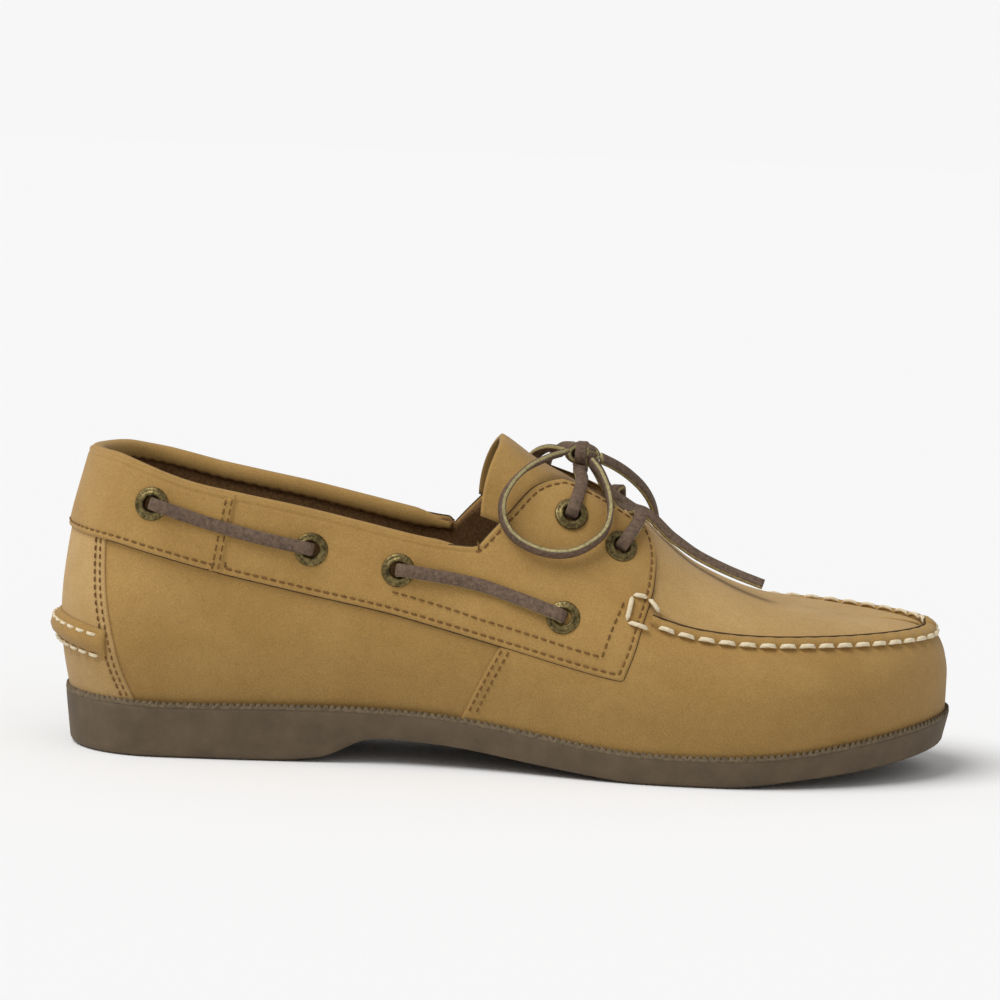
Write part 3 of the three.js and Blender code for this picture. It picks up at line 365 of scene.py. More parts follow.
# Smooth line through given points
def smoothLine(points, step):
    points = np.asarray(points, float)
    at = pathLengths(points)
    fine = np.linspace(0, at[-1], max(int(at[-1] / step), 4) + 1)
    rows = np.column_stack([at, points])
    return np.stack([alongRows(rows, k + 1, fine) for k in range(points.shape[1])], -1)


# Meshes come from points in millimetres
def addMesh(name, points, faces, material, replaces=(), sides=None):
    mesh = bpy.data.meshes.new(name)
    place = np.asarray(points, float) - np.array([shoe["originFromBack"], 0, 0])
    mesh.from_pydata((place * mm).tolist(), [], [list(map(int, face)) for face in faces])
    materials = material if isinstance(material, (list, tuple)) else [material]
    for each in materials:
        mesh.materials.append(each)
    if sides is not None:
        mesh.polygons.foreach_set("material_index", sides)
    mesh.polygons.foreach_set("use_smooth", [True] * len(mesh.polygons))
    mesh.validate()
    mesh.update()
    piece = bpy.data.objects.new(name, mesh)
    bpy.context.scene.collection.objects.link(piece)
    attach(piece, body)
    if replaces:
        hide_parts(*replaces)
    return piece


def gridFaces(rows, columns, start=0, closed=False):
    faces = []
    for r in range(rows - 1):
        for c in range(columns if closed else columns - 1):
            d = (c + 1) % columns
            low, high = start + r * columns, start + (r + 1) * columns
            faces.append((low + c, low + d, high + d, high + c))
    return faces


# Closed tube of rings with a cap at each end
def tubeFaces(rows, columns, flip=False):
    faces = gridFaces(rows, columns, closed=True)
    last = (rows - 1) * columns
    faces += [tuple(range(columns - 1, -1, -1)), tuple(range(last, last + columns))]
    return [face[::-1] for face in faces] if flip else faces


def addRoll(name, rings, material, replaces=(), flip=False):
    grid = np.stack(rings, 1)
    faces = tubeFaces(*grid.shape[:2], flip)
    return addMesh(name, grid.reshape(-1, 3), faces, material, replaces)


# Closed sheet between two grids of points that face each other
def thickGrid(outer, inner):
    rows, columns = outer.shape[:2]
    points = np.concatenate([outer.reshape(-1, 3), inner.reshape(-1, 3)])
    under = rows * columns
    faces = gridFaces(rows, columns) + [face[::-1] for face in gridFaces(rows, columns, under)]
    rim = [(0, c) for c in range(columns)] + [(r, columns - 1) for r in range(1, rows)]
    rim += [(rows - 1, c) for c in range(columns - 2, -1, -1)] + [(r, 0) for r in range(rows - 2, 0, -1)]
    ids = [r * columns + c for r, c in rim]
    for a, b in zip(ids, ids[1:] + ids[:1]):
        faces.append((b, a, a + under, b + under))
    return points, faces


def insideOf(points, polygon):
    x, y = points[:, 0][:, None], points[:, 1][:, None]
    a, b = polygon, np.roll(polygon, -1, 0)
    cross = (a[:, 1] > y) != (b[:, 1] > y)
    rise = np.where(b[:, 1] == a[:, 1], 1e-9, b[:, 1] - a[:, 1])
    return (cross & (x < (b[:, 0] - a[:, 0]) * (y - a[:, 1]) / rise + a[:, 0])).sum(1) % 2 == 1


def distanceTo(points, line, closed=True):
    a = line if closed else line[:-1]
    b = np.roll(line, -1, 0) if closed else line[1:]
    ab = b - a
    t = ((points[:, None] - a[None]) * ab).sum(2) / np.maximum((ab ** 2).sum(1), 1e-9)
    near = a[None] + np.clip(t, 0, 1)[..., None] * ab[None]
    return np.linalg.norm(points[:, None] - near, axis=2).min(1)


# Ring moved inwards; points that a corner would cross stay on its bisector
def insetRing(ring, distance):
    before, after = unit(ring - np.roll(ring, 1, 0)), unit(np.roll(ring, -1, 0) - ring)
    left = lambda v: np.stack([-v[:, 1], v[:, 0]], -1)
    mean = unit(left(before) + left(after))
    scale = 1 / np.maximum((mean * left(before)).sum(1), 0.55)
    moved = ring + mean * (distance * scale)[:, None]
    short = distanceTo(moved, ring) < 0.97 * distance
    keep = np.where(~short)[0]
    for i in np.where(short)[0]:
        gap = np.abs(keep - i)
        gap = np.minimum(gap, len(ring) - gap)
        near = keep[gap.argmin()]
        moved[i] = moved[near] + 0.02 * (moved[i] - moved[near])
    return moved


# Leather panel cut to a flat outline, with a soft edge, a sunk stitch line and eyelet holes.
# Each row of edge holds the inset from the edge and the drop below the full thickness.
panelEdge = {
    "profile": [(0.0, 0.75), (0.12, 0.35), (0.45, 0.06), (0.95, 0.0), (1.4, 0.06), (1.85, 0.3),
                (2.3, 0.06), (2.9, 0.0)],
    "spacing": 1.9, "holeRadius": 3.7, "holeRings": (1, 1.35, 1.8), "holeDish": 0.35,
    "dishReach": 6.5, "stitchRing": 5,
}


def addPanel(name, outline, material, replaces, base, thickness, holes):
    ring = outline if np.sum(outline[:, 0] * np.roll(outline[:, 1], -1) -
                             np.roll(outline[:, 0], -1) * outline[:, 1]) > 0 else outline[::-1]
    rings = [insetRing(ring, inset) if inset else ring for inset, _ in panelEdge["profile"]]
    last = rings[-1]
    step = panelEdge["spacing"]
    low, high = last.min(0), last.max(0)
    xs, ys = np.arange(low[0], high[0], step), np.arange(low[1], high[1], step * 0.87)
    grid = np.array([(x + (k % 2) * step / 2, y) for k, y in enumerate(ys) for x in xs])
    grid = grid[insideOf(grid, last)]
    grid = grid[distanceTo(grid, last) > 0.6 * step]
    hoops = []
    for hole in holes:
        for radius in np.array(panelEdge["holeRings"]) * panelEdge["holeRadius"]:
            angles = np.linspace(0, 2 * np.pi, 28, endpoint=False)
            hoops.append(hole + radius * np.stack([np.cos(angles), np.sin(angles)], -1))
        grid = grid[np.linalg.norm(grid - hole, axis=1) > 2.1 * panelEdge["holeRadius"]]
    flat = np.concatenate([last, *hoops, grid])
    edges = [(i, (i + 1) % len(last)) for i in range(len(last))]
    start = len(last)
    for hoop in hoops:
        edges += [(start + i, start + (i + 1) % len(hoop)) for i in range(len(hoop))]
        start += len(hoop)
    verts, _, triangles, *_ = delaunay_2d_cdt([Vector(p) for p in flat], edges, [], 0, 1e-5)
    verts = np.array([tuple(v) for v in verts])
    triangles = np.array([tuple(t) for t in triangles])
    middles = verts[triangles].mean(1)
    keep = insideOf(middles, last)
    for hole in holes:
        keep &= np.linalg.norm(middles - hole, axis=1) > 0.99 * panelEdge["holeRadius"]
    triangles = triangles[keep]
    lowest = np.zeros(len(verts))
    for hole in holes:
        away = np.linalg.norm(verts - hole, axis=1)
        lowest += panelEdge["holeDish"] * np.exp(-((away / panelEdge["dishReach"]) ** 4))
    top = base + thickness
    turn, level = fromFlat(verts)
    upperFace = facePoints(turn, level, top - lowest)
    underFace = facePoints(turn, level, base)
    points = [upperFace, underFace]
    count, size = len(verts), len(last)
    faces = [tuple(t) for t in triangles] + [tuple(t[::-1] + count) for t in triangles]
    order = list(range(size))
    above, start = order, 2 * count
    for (inset, drop), line in list(zip(panelEdge["profile"], rings))[-2::-1]:
        ringTurn, ringLevel = fromFlat(line)
        points.append(facePoints(ringTurn, ringLevel, top - drop * min(thickness / shoe["overlay"], 1)))
        here = [start + i for i in range(size)]
        faces += [(here[i], here[(i + 1) % size], above[(i + 1) % size], above[i]) for i in range(size)]
        above, start = here, start + size
    ringTurn, ringLevel = fromFlat(ring)
    points.append(facePoints(ringTurn, ringLevel, base))
    here = [start + i for i in range(size)]
    faces += [(here[i], here[(i + 1) % size], above[(i + 1) % size], above[i]) for i in range(size)]
    faces += [(i + count, (i + 1) % size + count, here[(i + 1) % size], here[i]) for i in range(size)]
    addMesh(name, np.concatenate(points), faces, material, replaces)
    return rings[panelEdge["stitchRing"]]


# Short stitches along runs of points, each a slim arch of thread that dips into its holes.
# A stitch is its length, the gap after it, and the thread's width and height.
def addStitches(name, runs, stitch, material):
    length, gap, width, height = stitch
    points, faces = [], []
    section = 6
    for line, normals in runs:
        lengths = pathLengths(line)
        at = lambda s: np.array([np.interp(s, lengths, line[:, k]) for k in range(3)])
        count = max(1, int(lengths[-1] // (length + gap)))
        pitch = lengths[-1] / count
        for n in range(count):
            first = n * pitch + gap * pitch / (length + gap) / 2
            span = pitch - gap * pitch / (length + gap)
            middle = first + span / 2
            normal = np.array([np.interp(middle, lengths, normals[:, k]) for k in range(3)])
            normal /= np.linalg.norm(normal)
            along = at(first + span) - at(first)
            along /= max(np.linalg.norm(along), 1e-6)
            across = np.cross(normal, along)
            start = len(points)
            for share in (0, 0.14, 0.5, 0.86, 1):
                thick = 0.3 if share in (0, 1) else 1
                lift = height * (1 - (2 * share - 1) ** 4) - 0.35 * height
                centre = at(first + share * span) + normal * lift
                for k in range(section):
                    angle = 2 * math.pi * k / section
                    points.append(centre + across * math.cos(angle) * width / 2 * thick
                                  + normal * math.sin(angle) * height * 0.6 * thick)
            faces += gridFaces(5, section, start, closed=True)
            faces.append(tuple(range(start + section - 1, start - 1, -1)))
            faces.append(tuple(start + 4 * section + k for k in range(section)))
    addMesh(name, points, faces, material)


# Line on the face through flat points, with the face's normals
def faceRun(flat, out):
    turn, level = fromFlat(resample(flat, 0.8))
    return facePoints(turn, level, out), faceNormals(turn, level)


# Colours are sRGB hex values
def colour(code):
    value = [int(code[i:i + 2], 16) / 255 for i in (1, 3, 5)]
    return [v / 12.92 if v <= 0.04045 else ((v + 0.055) / 1.055) ** 2.4 for v in value] + [1]


def newMaterial(name):
    material = bpy.data.materials.new(name)
    material.use_nodes = True
    tree = material.node_tree
    return material, tree, tree.nodes["Principled BSDF"]


# Node with its settings, and with its inputs as values or as sockets to link
def addNode(tree, kind, settings=None, inputs=None):
    node = tree.nodes.new(kind)
    for key, value in (settings or {}).items():
        setattr(node, key, value)
    for key, value in (inputs or {}).items():
        if isinstance(value, bpy.types.NodeSocket):
            tree.links.new(value, node.inputs[key])
        else:
            node.inputs[key].default_value = value
    return node


# Pattern of a given size in millimetres, and its blend between two colours
def tonePattern(tree, place, pattern, dark, light):
    size, detail, roughness, low, high = pattern[:5]
    cells = addNode(tree, "ShaderNodeTexNoise", None, {
        "Vector": place, "Scale": 1 / (size * mm), "Detail": detail, "Roughness": roughness,
        "Distortion": pattern[5] if len(pattern) > 5 else 0}).outputs["Fac"]
    ramp = addNode(tree, "ShaderNodeValToRGB", None, {"Fac": cells})
    for element, stop, tone in zip(ramp.color_ramp.elements, (low, high), (dark, light)):
        element.position = stop
        element.color = tone
    return cells, ramp.outputs["Color"]


def finishShader(tree, shader, tone, values, grain, strength, depth):
    tree.links.new(tone, shader.inputs["Base Color"])
    for name, value in values.items():
        shader.inputs[name].default_value = value
    bump = addNode(tree, "ShaderNodeBump", None, {"Strength": strength, "Distance": depth, "Height": grain})
    tree.links.new(bump.outputs["Normal"], shader.inputs["Normal"])


# Nubuck: cattle leather sanded on its grain side, so matt, soft and a little cloudy in tone,
# with a fine nap, and painted shade that darkens it towards the sole. A pattern is its size in
# millimetres, detail, roughness, the two stops of its blend and its distortion.
nubuck = {
    "base": "#AC864B", "dark": "#99753C", "light": "#BC995B",
    # The pale tones are a lighter copy of the tan: painted highlight for the stronger light on the plug's top
    # and the heel counter's back
    "paleBase": "#BC9860", "paleDark": "#AB864B", "paleLight": "#CFAD77",
    "cloud": (30, 4, 0.6, 0.34, 0.68, 0.6), "mottle": (4, 3, 0.6, 0.3, 0.7),
    "nap": (0.42, 3, 0.7, 0.32, 0.68), "napDark": [0.3, 0.3, 0.3, 1], "napLight": [0.7, 0.7, 0.7, 1],
    # foot, footLow and footHigh set the painted shade: the colour is multiplied by foot low down, up to full
    # strength at footHigh millimetres
    "mottleShare": 0.3, "baseShare": 0.6, "napShare": 0.5, "foot": 0.8, "footLow": 24, "footHigh": 56,
    "shader": {"Roughness": 0.86, "Specular IOR Level": 0.25, "Sheen Weight": 0.12, "Sheen Roughness": 0.5},
}


def nubuckMaterial(name, base, dark, light):
    material, tree, shader = newMaterial(name)
    place = addNode(tree, "ShaderNodeTexCoord").outputs["Object"]
    height = addNode(tree, "ShaderNodeSeparateXYZ", None, {"Vector": place}).outputs["Z"]
    # Painted shade: darker towards the sole, standing in for the light that falls from above
    paintedLowShade = addNode(tree, "ShaderNodeMapRange", None, {
        "Value": height, "From Min": nubuck["footLow"] * mm, "From Max": nubuck["footHigh"] * mm,
        "To Min": nubuck["foot"]}).outputs["Result"]
    _, tone = tonePattern(tree, place, nubuck["cloud"], colour(dark), colour(light))
    _, mottle = tonePattern(tree, place, nubuck["mottle"], colour(dark), colour(light))
    grain, nap = tonePattern(tree, place, nubuck["nap"], nubuck["napDark"], nubuck["napLight"])
    layers = [("MIX", nubuck["mottleShare"], mottle), ("MIX", nubuck["baseShare"], colour(base)),
              ("OVERLAY", nubuck["napShare"], nap), ("MULTIPLY", 1, paintedLowShade)]
    for blend, share, over in layers:
        tone = addNode(tree, "ShaderNodeMix", {"data_type": "RGBA", "blend_type": blend},
                       {0: share, 6: tone, 7: over}).outputs[2]
    finishShader(tree, shader, tone, nubuck["shader"], grain, 0.35, 0.0003)
    return material


# Plainer stuffs: two tones, their pattern's size and the grain's size, both in millimetres,
# the roughness and the depth of the grain in metres
def plainMaterial(name, dark, light, size, roughness, grainSize, depth, metallic=0.0):
    material, tree, shader = newMaterial(name)
    place = addNode(tree, "ShaderNodeTexCoord").outputs["Object"]
    _, tone = tonePattern(tree, place, (size, 4, 0.62, 0.33, 0.67), colour(dark), colour(light))
    grain = addNode(tree, "ShaderNodeTexNoise", None, {
        "Vector": place, "Scale": 1 / (grainSize * mm), "Detail": 3, "Roughness": 0.65}).outputs["Fac"]
    values = {"Roughness": roughness, "Metallic": metallic, "Specular IOR Level": 0.3}
    finishShader(tree, shader, tone, values, grain, 0.6, depth)
    return material


tanNubuck = nubuckMaterial("tanNubuckSanded", nubuck["base"], nubuck["dark"], nubuck["light"])
# Lighter copy of the tan nubuck, used on the plug and the heel counter as painted highlight
paintedHighlightNubuck = nubuckMaterial("sandedNubuckPaintedHighlight", nubuck["paleBase"], nubuck["paleDark"], nubuck["paleLight"])
# Rawhide lace: oiled hide, matt mauve brown on its faces and pale raw hide at its cut edges
rawhide = plainMaterial("oiledRawhideLace", "#57463A", "#7A6553", 1.3, 0.82, 0.35, 0.0003)
rawhideEdge = plainMaterial("cutRawhideEdge", "#8C8056", "#BDB07F", 0.9, 0.9, 0.3, 0.0003)
# Waxed linen thread in cream, and bonded nylon thread in brown, a little glossier
creamThread = plainMaterial("waxedLinenThread", "#D9C7A3", "#F1E3C4", 1.1, 0.7, 0.3, 0.0003)
brownThread = plainMaterial("bondedNylonThread", "#654622", "#86602F", 1.2, 0.6, 0.25, 0.0002)
# Moulded rubber with a satin mould finish, and a rim rubber mottled a little paler than the sole
soleRubber = plainMaterial("mouldedSoleRubber", "#594C3B", "#685844", 9, 0.72, 0.6, 0.0002)
rimRubber = plainMaterial("ribbedRimRubber", "#574A39", "#7A6A52", 1.4, 0.75, 0.5, 0.0002)
# Split suede lining, brown with a short nap, a smoother sock, and a dark painted shadow line for the shade in
# the gaps along panel edges
liningSuede = plainMaterial("splitSuedeLining", "#6E5030", "#967046", 0.9, 0.95, 0.5, 0.0007)
sockLeather = plainMaterial("embossedSockLeather", "#5A4128", "#71553A", 4, 0.75, 0.7, 0.0003)
paintedShadowLine = plainMaterial("paintedSeamShadowCord", "#3A2A18", "#57411F", 2, 0.8, 0.5, 0.0002)
# Antiqued brass, dark in the hollows and worn brighter on the crests
agedBrass = plainMaterial("antiquedBrass", "#453B24", "#8C7C50", 1.5, 0.38, 0.6, 0.0002, 0.85)
print("materials made")


# Camera of the photograph: lens and sensor in millimetres, place in millimetres, tilts in degrees
view = {"lens": 122.1, "sensor": 36, "x": 143.6, "y": -1131, "z": 206, "pitch": 6.06, "roll": 2.2}


def addCamera():
    data = bpy.data.cameras.new("photoCamera")
    data.lens = view["lens"]
    data.sensor_width = view["sensor"]
    data.clip_end = 50
    camera = bpy.data.objects.new("photoCamera", data)
    bpy.context.scene.collection.objects.link(camera)
    pitch, roll = math.radians(view["pitch"]), math.radians(view["roll"])
    forward = Vector((0, math.cos(pitch), -math.sin(pitch)))
    right = Vector((1, 0, 0))
    up = right.cross(forward)
    rolledRight = right * math.cos(roll) + up * math.sin(roll)
    rolledUp = up * math.cos(roll) - right * math.sin(roll)
    turned = camera.matrix_world.to_3x3()
    for i in range(3):
        turned[i] = (rolledRight[i], rolledUp[i], -forward[i])
    camera.matrix_world = turned.to_4x4()
    camera.location = ((view["x"] - shoe["originFromBack"]) * mm, view["y"] * mm, view["z"] * mm)
    bpy.context.scene.camera = camera


# Even studio light: a white dome and two broad suns, so that the paper stays level in tone.
# The dome looks brighter to the camera than it lights, to match the paper.
studio = {
    "paper": "#FCFCFC", "dome": 0.36, "backdrop": 0.93, "reach": 60,
    "suns": [{"name": "keySun", "from": (-0.72, -0.42, 1.3), "power": 2.1, "angle": 40},
             {"name": "fillSun", "from": (0.8, -0.9, 0.8), "power": 0.22, "angle": 80}],
}


def addStudio():
    size = studio["reach"]
    mesh = bpy.data.meshes.new("studioPaper")
    mesh.from_pydata([(-size, -size, 0), (size, -size, 0), (size, size, 0), (-size, size, 0)], [],
                     [(0, 1, 2, 3)])
    material, _, shader = newMaterial("paleStudioPaper")
    shader.inputs["Base Color"].default_value = colour(studio["paper"])
    shader.inputs["Roughness"].default_value = 1
    shader.inputs["Specular IOR Level"].default_value = 0
    mesh.materials.append(material)
    paper = bpy.data.objects.new("studioPaper", mesh)
    bpy.context.scene.collection.objects.link(paper)
    world = bpy.data.worlds.new("studioDome")
    world.use_nodes = True
    tree = world.node_tree
    dome = tree.nodes["Background"]
    dome.inputs["Color"].default_value = (1, 1, 1, 1)
    seen = addNode(tree, "ShaderNodeLightPath").outputs["Is Camera Ray"]
    strength = addNode(tree, "ShaderNodeMapRange", None, {
        "Value": seen, "To Min": studio["dome"], "To Max": studio["backdrop"]})
    tree.links.new(strength.outputs["Result"], dome.inputs["Strength"])
    bpy.context.scene.world = world
    for lamp in studio["suns"]:
        data = bpy.data.lights.new(lamp["name"], "SUN")
        data.energy = lamp["power"]
        data.angle = math.radians(lamp["angle"])
        light = bpy.data.objects.new(lamp["name"], data)
        bpy.context.scene.collection.objects.link(light)
        light.rotation_euler = Vector(lamp["from"]).to_track_quat("Z", "Y").to_euler()
    bpy.context.scene.view_settings.view_transform = "Standard"


addCamera()
addStudio()
print("camera and studio made")


def collarHeight(inner, at):
    height = mix(shoe["collarBack"], shoe["collarLow"], alongRows(collarRows, 1, at))
    return height + np.where(inner, shoe["collarInnerLift"] * smoothStep(at, 0.05, 0.15), 0)


def bandHeight(at):
    return mix(shoe["collarBack"], shoe["seamHeight"], alongRows(bandRows, 1, at))


# Level some millimetres up the face from another
def levelUp(turn, level, across):
    step = 0.02
    reach = np.linalg.norm(lastPoints(turn, level + step) - lastPoints(turn, level), axis=-1)
    return level + across / reach * step


# Sole: its wall leans out to the rim, its seat lies inside the rim in two steps of inset and
# rise, and its underside has wavy cuts. A tooth gives its rise by its share of the pitch, and
# the rim's section gives inset, height, and how much of the tooth's rise and lean it takes.
soleSizes = {
    "undercut": 1.7, "corner": 2.6, "rimBand": 1.7, "around": 480, "across": 28, "bandInset": 0.15,
    "seatSteps": [(0.75, 0.15), (1.2, 0.4)],
    "siping": 4.2, "sipeDepth": 0.8, "sipeShare": 0.28, "wave": 9, "waveDepth": 4.5, "sipeBorder": 6,
    "toothPitch": 2.2, "toothHeight": 1.15,
    "tooth": [(0, 0.0), (0.12, 0.85), (0.3, 1.0), (0.55, 0.72), (0.72, 0.12), (0.86, 0.0)],
    "rim": [(0.15, -1.75, 0, 0), (0.0, -1.5, 0, 0), (0.0, -1.05, 0, 0), (0.1, -0.95, 1.0, 0.5),
            (0.5, -0.9, 1.1, 0.8), (1.6, -0.95, 0.75, 1.1), (2.6, -1.1, 0.45, 1.3),
            (3.6, -1.2, 0.2, 1.4), (3.6, -1.75, 0, 0)],
}


def soleRing(inset, height, turns):
    inset = np.broadcast_to(np.asarray(inset, float), turns.shape)
    edge = outlinePoints(np.mod(turns, 2) > 1, shareOf(turns)) + inwardNormals(turns) * inset[:, None]
    return np.concatenate([edge, height[:, None]], -1)


def makeOutsole():
    turns = np.arange(soleSizes["around"]) * 2 / soleSizes["around"]
    at = shareOf(turns)
    bottom, top = soleBottom(at), soleTop(at)
    under, corner = soleSizes["undercut"], soleSizes["corner"]
    rings = []
    for degrees in (0, 22, 45, 68, 90):
        angle = math.radians(degrees)
        rings.append(soleRing(under + corner * (1 - math.sin(angle)),
                              bottom + corner * (1 - math.cos(angle)), turns))
    band = top - soleSizes["rimBand"]
    for share in (0.3, 0.6, 0.9):
        rings.append(soleRing(under * (1 - share), mix(bottom + corner, band, share), turns))
    rings.append(soleRing(soleSizes["bandInset"], band, turns))
    for inset, rise in soleSizes["seatSteps"]:
        rings.append(soleRing(inset, band + rise, turns))
    count = len(turns)
    faces = gridFaces(len(rings), count, 0, closed=True)
    half = count // 2
    points = [np.concatenate(rings)]
    across, border = soleSizes["across"], soleSizes["sipeBorder"]
    for base, flip in ((0, True), ((len(rings) - 1) * count, False)):
        ids = np.empty((half + 1, across + 1), int)
        start = sum(len(p) for p in points)
        extra = []
        ring = np.concatenate(points)[base:base + count]
        for i in range(half + 1):
            a, b = i, (count - i) % count
            for k in range(across + 1):
                if k == 0 or a == b:
                    ids[i, k] = base + a
                elif k == across:
                    ids[i, k] = base + b
                else:
                    ids[i, k] = start + len(extra)
                    spot = mix(ring[a], ring[b], k / across)
                    if flip and border < i < half - border and 1 < k < across - 1:
                        wave = abs((spot[1] / soleSizes["wave"]) % 2 - 1) * soleSizes["waveDepth"]
                        cut = ((spot[0] + wave) / soleSizes["siping"]) % 1 < soleSizes["sipeShare"]
                        spot = spot + [0, 0, soleSizes["sipeDepth"] if cut else 0]
                    extra.append(spot)
        points.append(np.array(extra))
        for i in range(half):
            for k in range(across):
                quad = [ids[i, k], ids[i + 1, k], ids[i + 1, k + 1], ids[i, k + 1]]
                quad = list(dict.fromkeys(quad))
                if len(quad) > 2:
                    faces.append(tuple(quad[::-1]) if flip else tuple(quad))
    addMesh("rubberOutsole", np.concatenate(points), [f[::-1] for f in faces], soleRubber,
            ("outsole",))


# Rim with slanted ribs that end in teeth at its outer edge
def makeRim():
    fine = np.linspace(0, 2, 2401)
    line = outlinePoints(np.mod(fine, 2) > 1, shareOf(fine))
    lengths = pathLengths(line)
    teeth = int(lengths[-1] / soleSizes["toothPitch"])
    at, rise = [], []
    for n in range(teeth):
        for share, height in soleSizes["tooth"]:
            at.append((n + share) * lengths[-1] / teeth)
            rise.append(height)
    rise = np.array(rise)
    rows = []
    for inset, height, lift, lean in soleSizes["rim"]:
        turns = np.interp(np.mod(np.array(at) + lean, lengths[-1]), lengths, fine)
        top = soleTop(shareOf(turns))
        rows.append(soleRing(inset, top + height + lift * rise * soleSizes["toothHeight"], turns))
    grid = np.stack(rows, 1)
    count, columns = grid.shape[:2]
    faces = []
    for r in range(count):
        for c in range(columns):
            s, d = (r + 1) % count, (c + 1) % columns
            faces.append((r * columns + c, s * columns + c, s * columns + d, r * columns + d))
    addMesh("ribbedRim", grid.reshape(-1, 3), faces, rimRubber)


insole = {"inset": 5.2, "thickness": 2.9, "cup": 2.0}


# Sock and insole, cupped up round the heel
def makeInsole():
    at = shareOf(np.linspace(0.02, 0.98, 120))
    turns = turnOf(at)
    rest = soleTop(at) - shoe["rimHeight"] + shoe["seatGap"]
    outer, inner = (soleRing(insole["inset"], rest, side) for side in (turns, 2 - turns))
    share = np.linspace(0, 1, 25)[None, :, None]
    low = mix(outer[:, None], inner[:, None], share)
    cup = insole["cup"] * np.abs(2 * share[..., 0] - 1) ** 4 * smoothStep(-at, -0.6, -0.3)[:, None]
    top = low + np.stack([np.zeros_like(cup), np.zeros_like(cup), insole["thickness"] + cup], -1)
    points, faces = thickGrid(top[:, ::-1], low[:, ::-1])
    addMesh("sockInsole", points, faces, sockLeather, ("insole",))


# Eyelets: share of the length and share of the way up from the seam to the instep
eyelets = {
    "heel": (0.102, 0.744), "quarter": (0.2775, 0.493), "waist": (0.3735, 0.384),
    "vamp": (0.5555, 0.142), "instep": (0.561, 0.771), "throat": (0.617, 0.581),
}
eyeletPlaces = {}
for inner in (False, True):
    ats = np.array([row[0] for row in eyelets.values()]) * shoe["soleLength"]
    ups = mix(shoe["seamHeight"], shoe["instepHeight"], np.array([row[1] for row in eyelets.values()]))
    turn, level = locate(inner, ats, ups)
    for i, name in enumerate(eyelets):
        eyeletPlaces[name, inner] = (turn[i], level[i])

# Edges of the eyestay from the side and from above, and its tuck for the inner side
stay = {
    "seamAt": 0.177, "seamLean": 4.2, "innerShift": 9, "throatHalf": 17, "throatFlare": 4,
    "throatBack": 119.4, "throatFront": 208,
    "rear": [(0.461, 0.56), (0.475, 0.655), (0.497, 0.795), (0.508, 0.87), (0.52, 0.935),
             (0.534, 0.97), (0.55, 0.985)],
    "front": [(0.622, -0.227), (0.635, -0.03), (0.641, 0.09), (0.653, 0.3), (0.656, 0.4),
              (0.657, 0.53), (0.653, 0.62), (0.645, 0.7)],
}


def sidePoints(rows, shift=0):
    return np.array([(at * shoe["soleLength"] - shift,
                      mix(shoe["seamHeight"], shoe["instepHeight"], up)) for at, up in rows])


# Outline of an eyestay as runs of flat points: lower edge, front, throat, rear and collar
def stayRuns(inner):
    length = shoe["soleLength"]
    shift = stay["innerShift"] if inner else 0
    lowAt = np.linspace(stay["seamAt"], stay["front"][0][0], 60)
    low = np.stack([lowAt * length, bandHeight(lowAt)], -1)[:-1]
    front = smoothLine(sidePoints(stay["front"]), 2)
    rear = smoothLine(sidePoints(stay["rear"], shift), 2)[::-1]
    collarAt = np.linspace(rear[-1][0] / length, stay["seamAt"] + 0.012, 50)[1:]
    collar = np.stack([collarAt * length, collarHeight(inner, collarAt)], -1)
    flats = []
    for line in (low, front):
        flats.append(toFlat(*locate(inner, line[:, 0], line[:, 1])))
    rearFlat = toFlat(*locate(inner, rear[:, 0], rear[:, 1]))
    xs = np.linspace(front[-1][0] - 1.5, rear[0][0] + 3, 20)
    part = (stay["throatFront"] - xs) / (stay["throatFront"] - stay["throatBack"])
    half = stay["throatHalf"] + stay["throatFlare"] * np.clip(part, 0, 1)
    flats.append(toFlat(*locate(inner, xs, half if inner else -half, axes=(0, 1))))
    flats.append(rearFlat)
    flats.append(toFlat(*locate(inner, collar[:, 0], collar[:, 1])))
    return flats


stayLines = {inner: stayRuns(inner) for inner in (False, True)}


# Top of the lining on one side, as level by turn
def openEdge(inner, turns):
    low, front, throat, rear, collar = stayLines[inner]
    line = np.concatenate([throat, rear, collar])
    turn, level = fromFlat(line)
    heelAt = np.linspace(0.0005, stay["seamAt"], 40)
    heelTurn = 2 - turnOf(heelAt) if inner else turnOf(heelAt)
    heelLevel = levelAtHeight(heelTurn, collarHeight(inner, heelAt))
    turn, level = np.concatenate([turn, heelTurn]), np.concatenate([level, heelLevel])
    share = shareOf(turn)
    order = np.argsort(share)
    at = shareOf(turns)
    edge = np.interp(at, share[order], level[order])
    closed = smoothStep(at, 0.655, 0.675)
    return mix(edge, 3, closed)


lining = {"out": 0.15, "in": -2.0, "below": 0.012, "foot": 0.02}


def makeLining():
    for inner in (False, True):
        across = np.linspace(0.001, 0.999, 200)
        turns = 2 - across if inner else across
        top = openEdge(inner, turns) - lining["below"]
        levels = top[None, :] * np.linspace(lining["foot"], 1, 46)[:, None]
        sheets = [facePoints(turns[None, :], levels, lining[side]) for side in ("out", "in")]
        points, faces = thickGrid(*[sheet[:, ::-1] if inner else sheet for sheet in sheets])
        addMesh("suedeLining" + sideName(inner), points, faces, liningSuede, ("upper",))


# Quarters under the panels, and the vamp that laps over them, skived thin at its rear edges
quarter = {"out": 0.25, "under": 0.05, "vampUnder": 0.1, "skive": 0.35, "frontAt": 0.585, "stitchOut": 1.2,
           "seamFoot": 137.5, "seamHead": 148, "thickness": 0.9, "headHeight": 43, "footHeight": 22,
           "topLevel": 2.06, "bandEnd": 0.62, "underBand": 7, "stitchInsets": (1.4, 3.9),
           "stitch": (1.7, 0.9, 0.55, 0.4)}


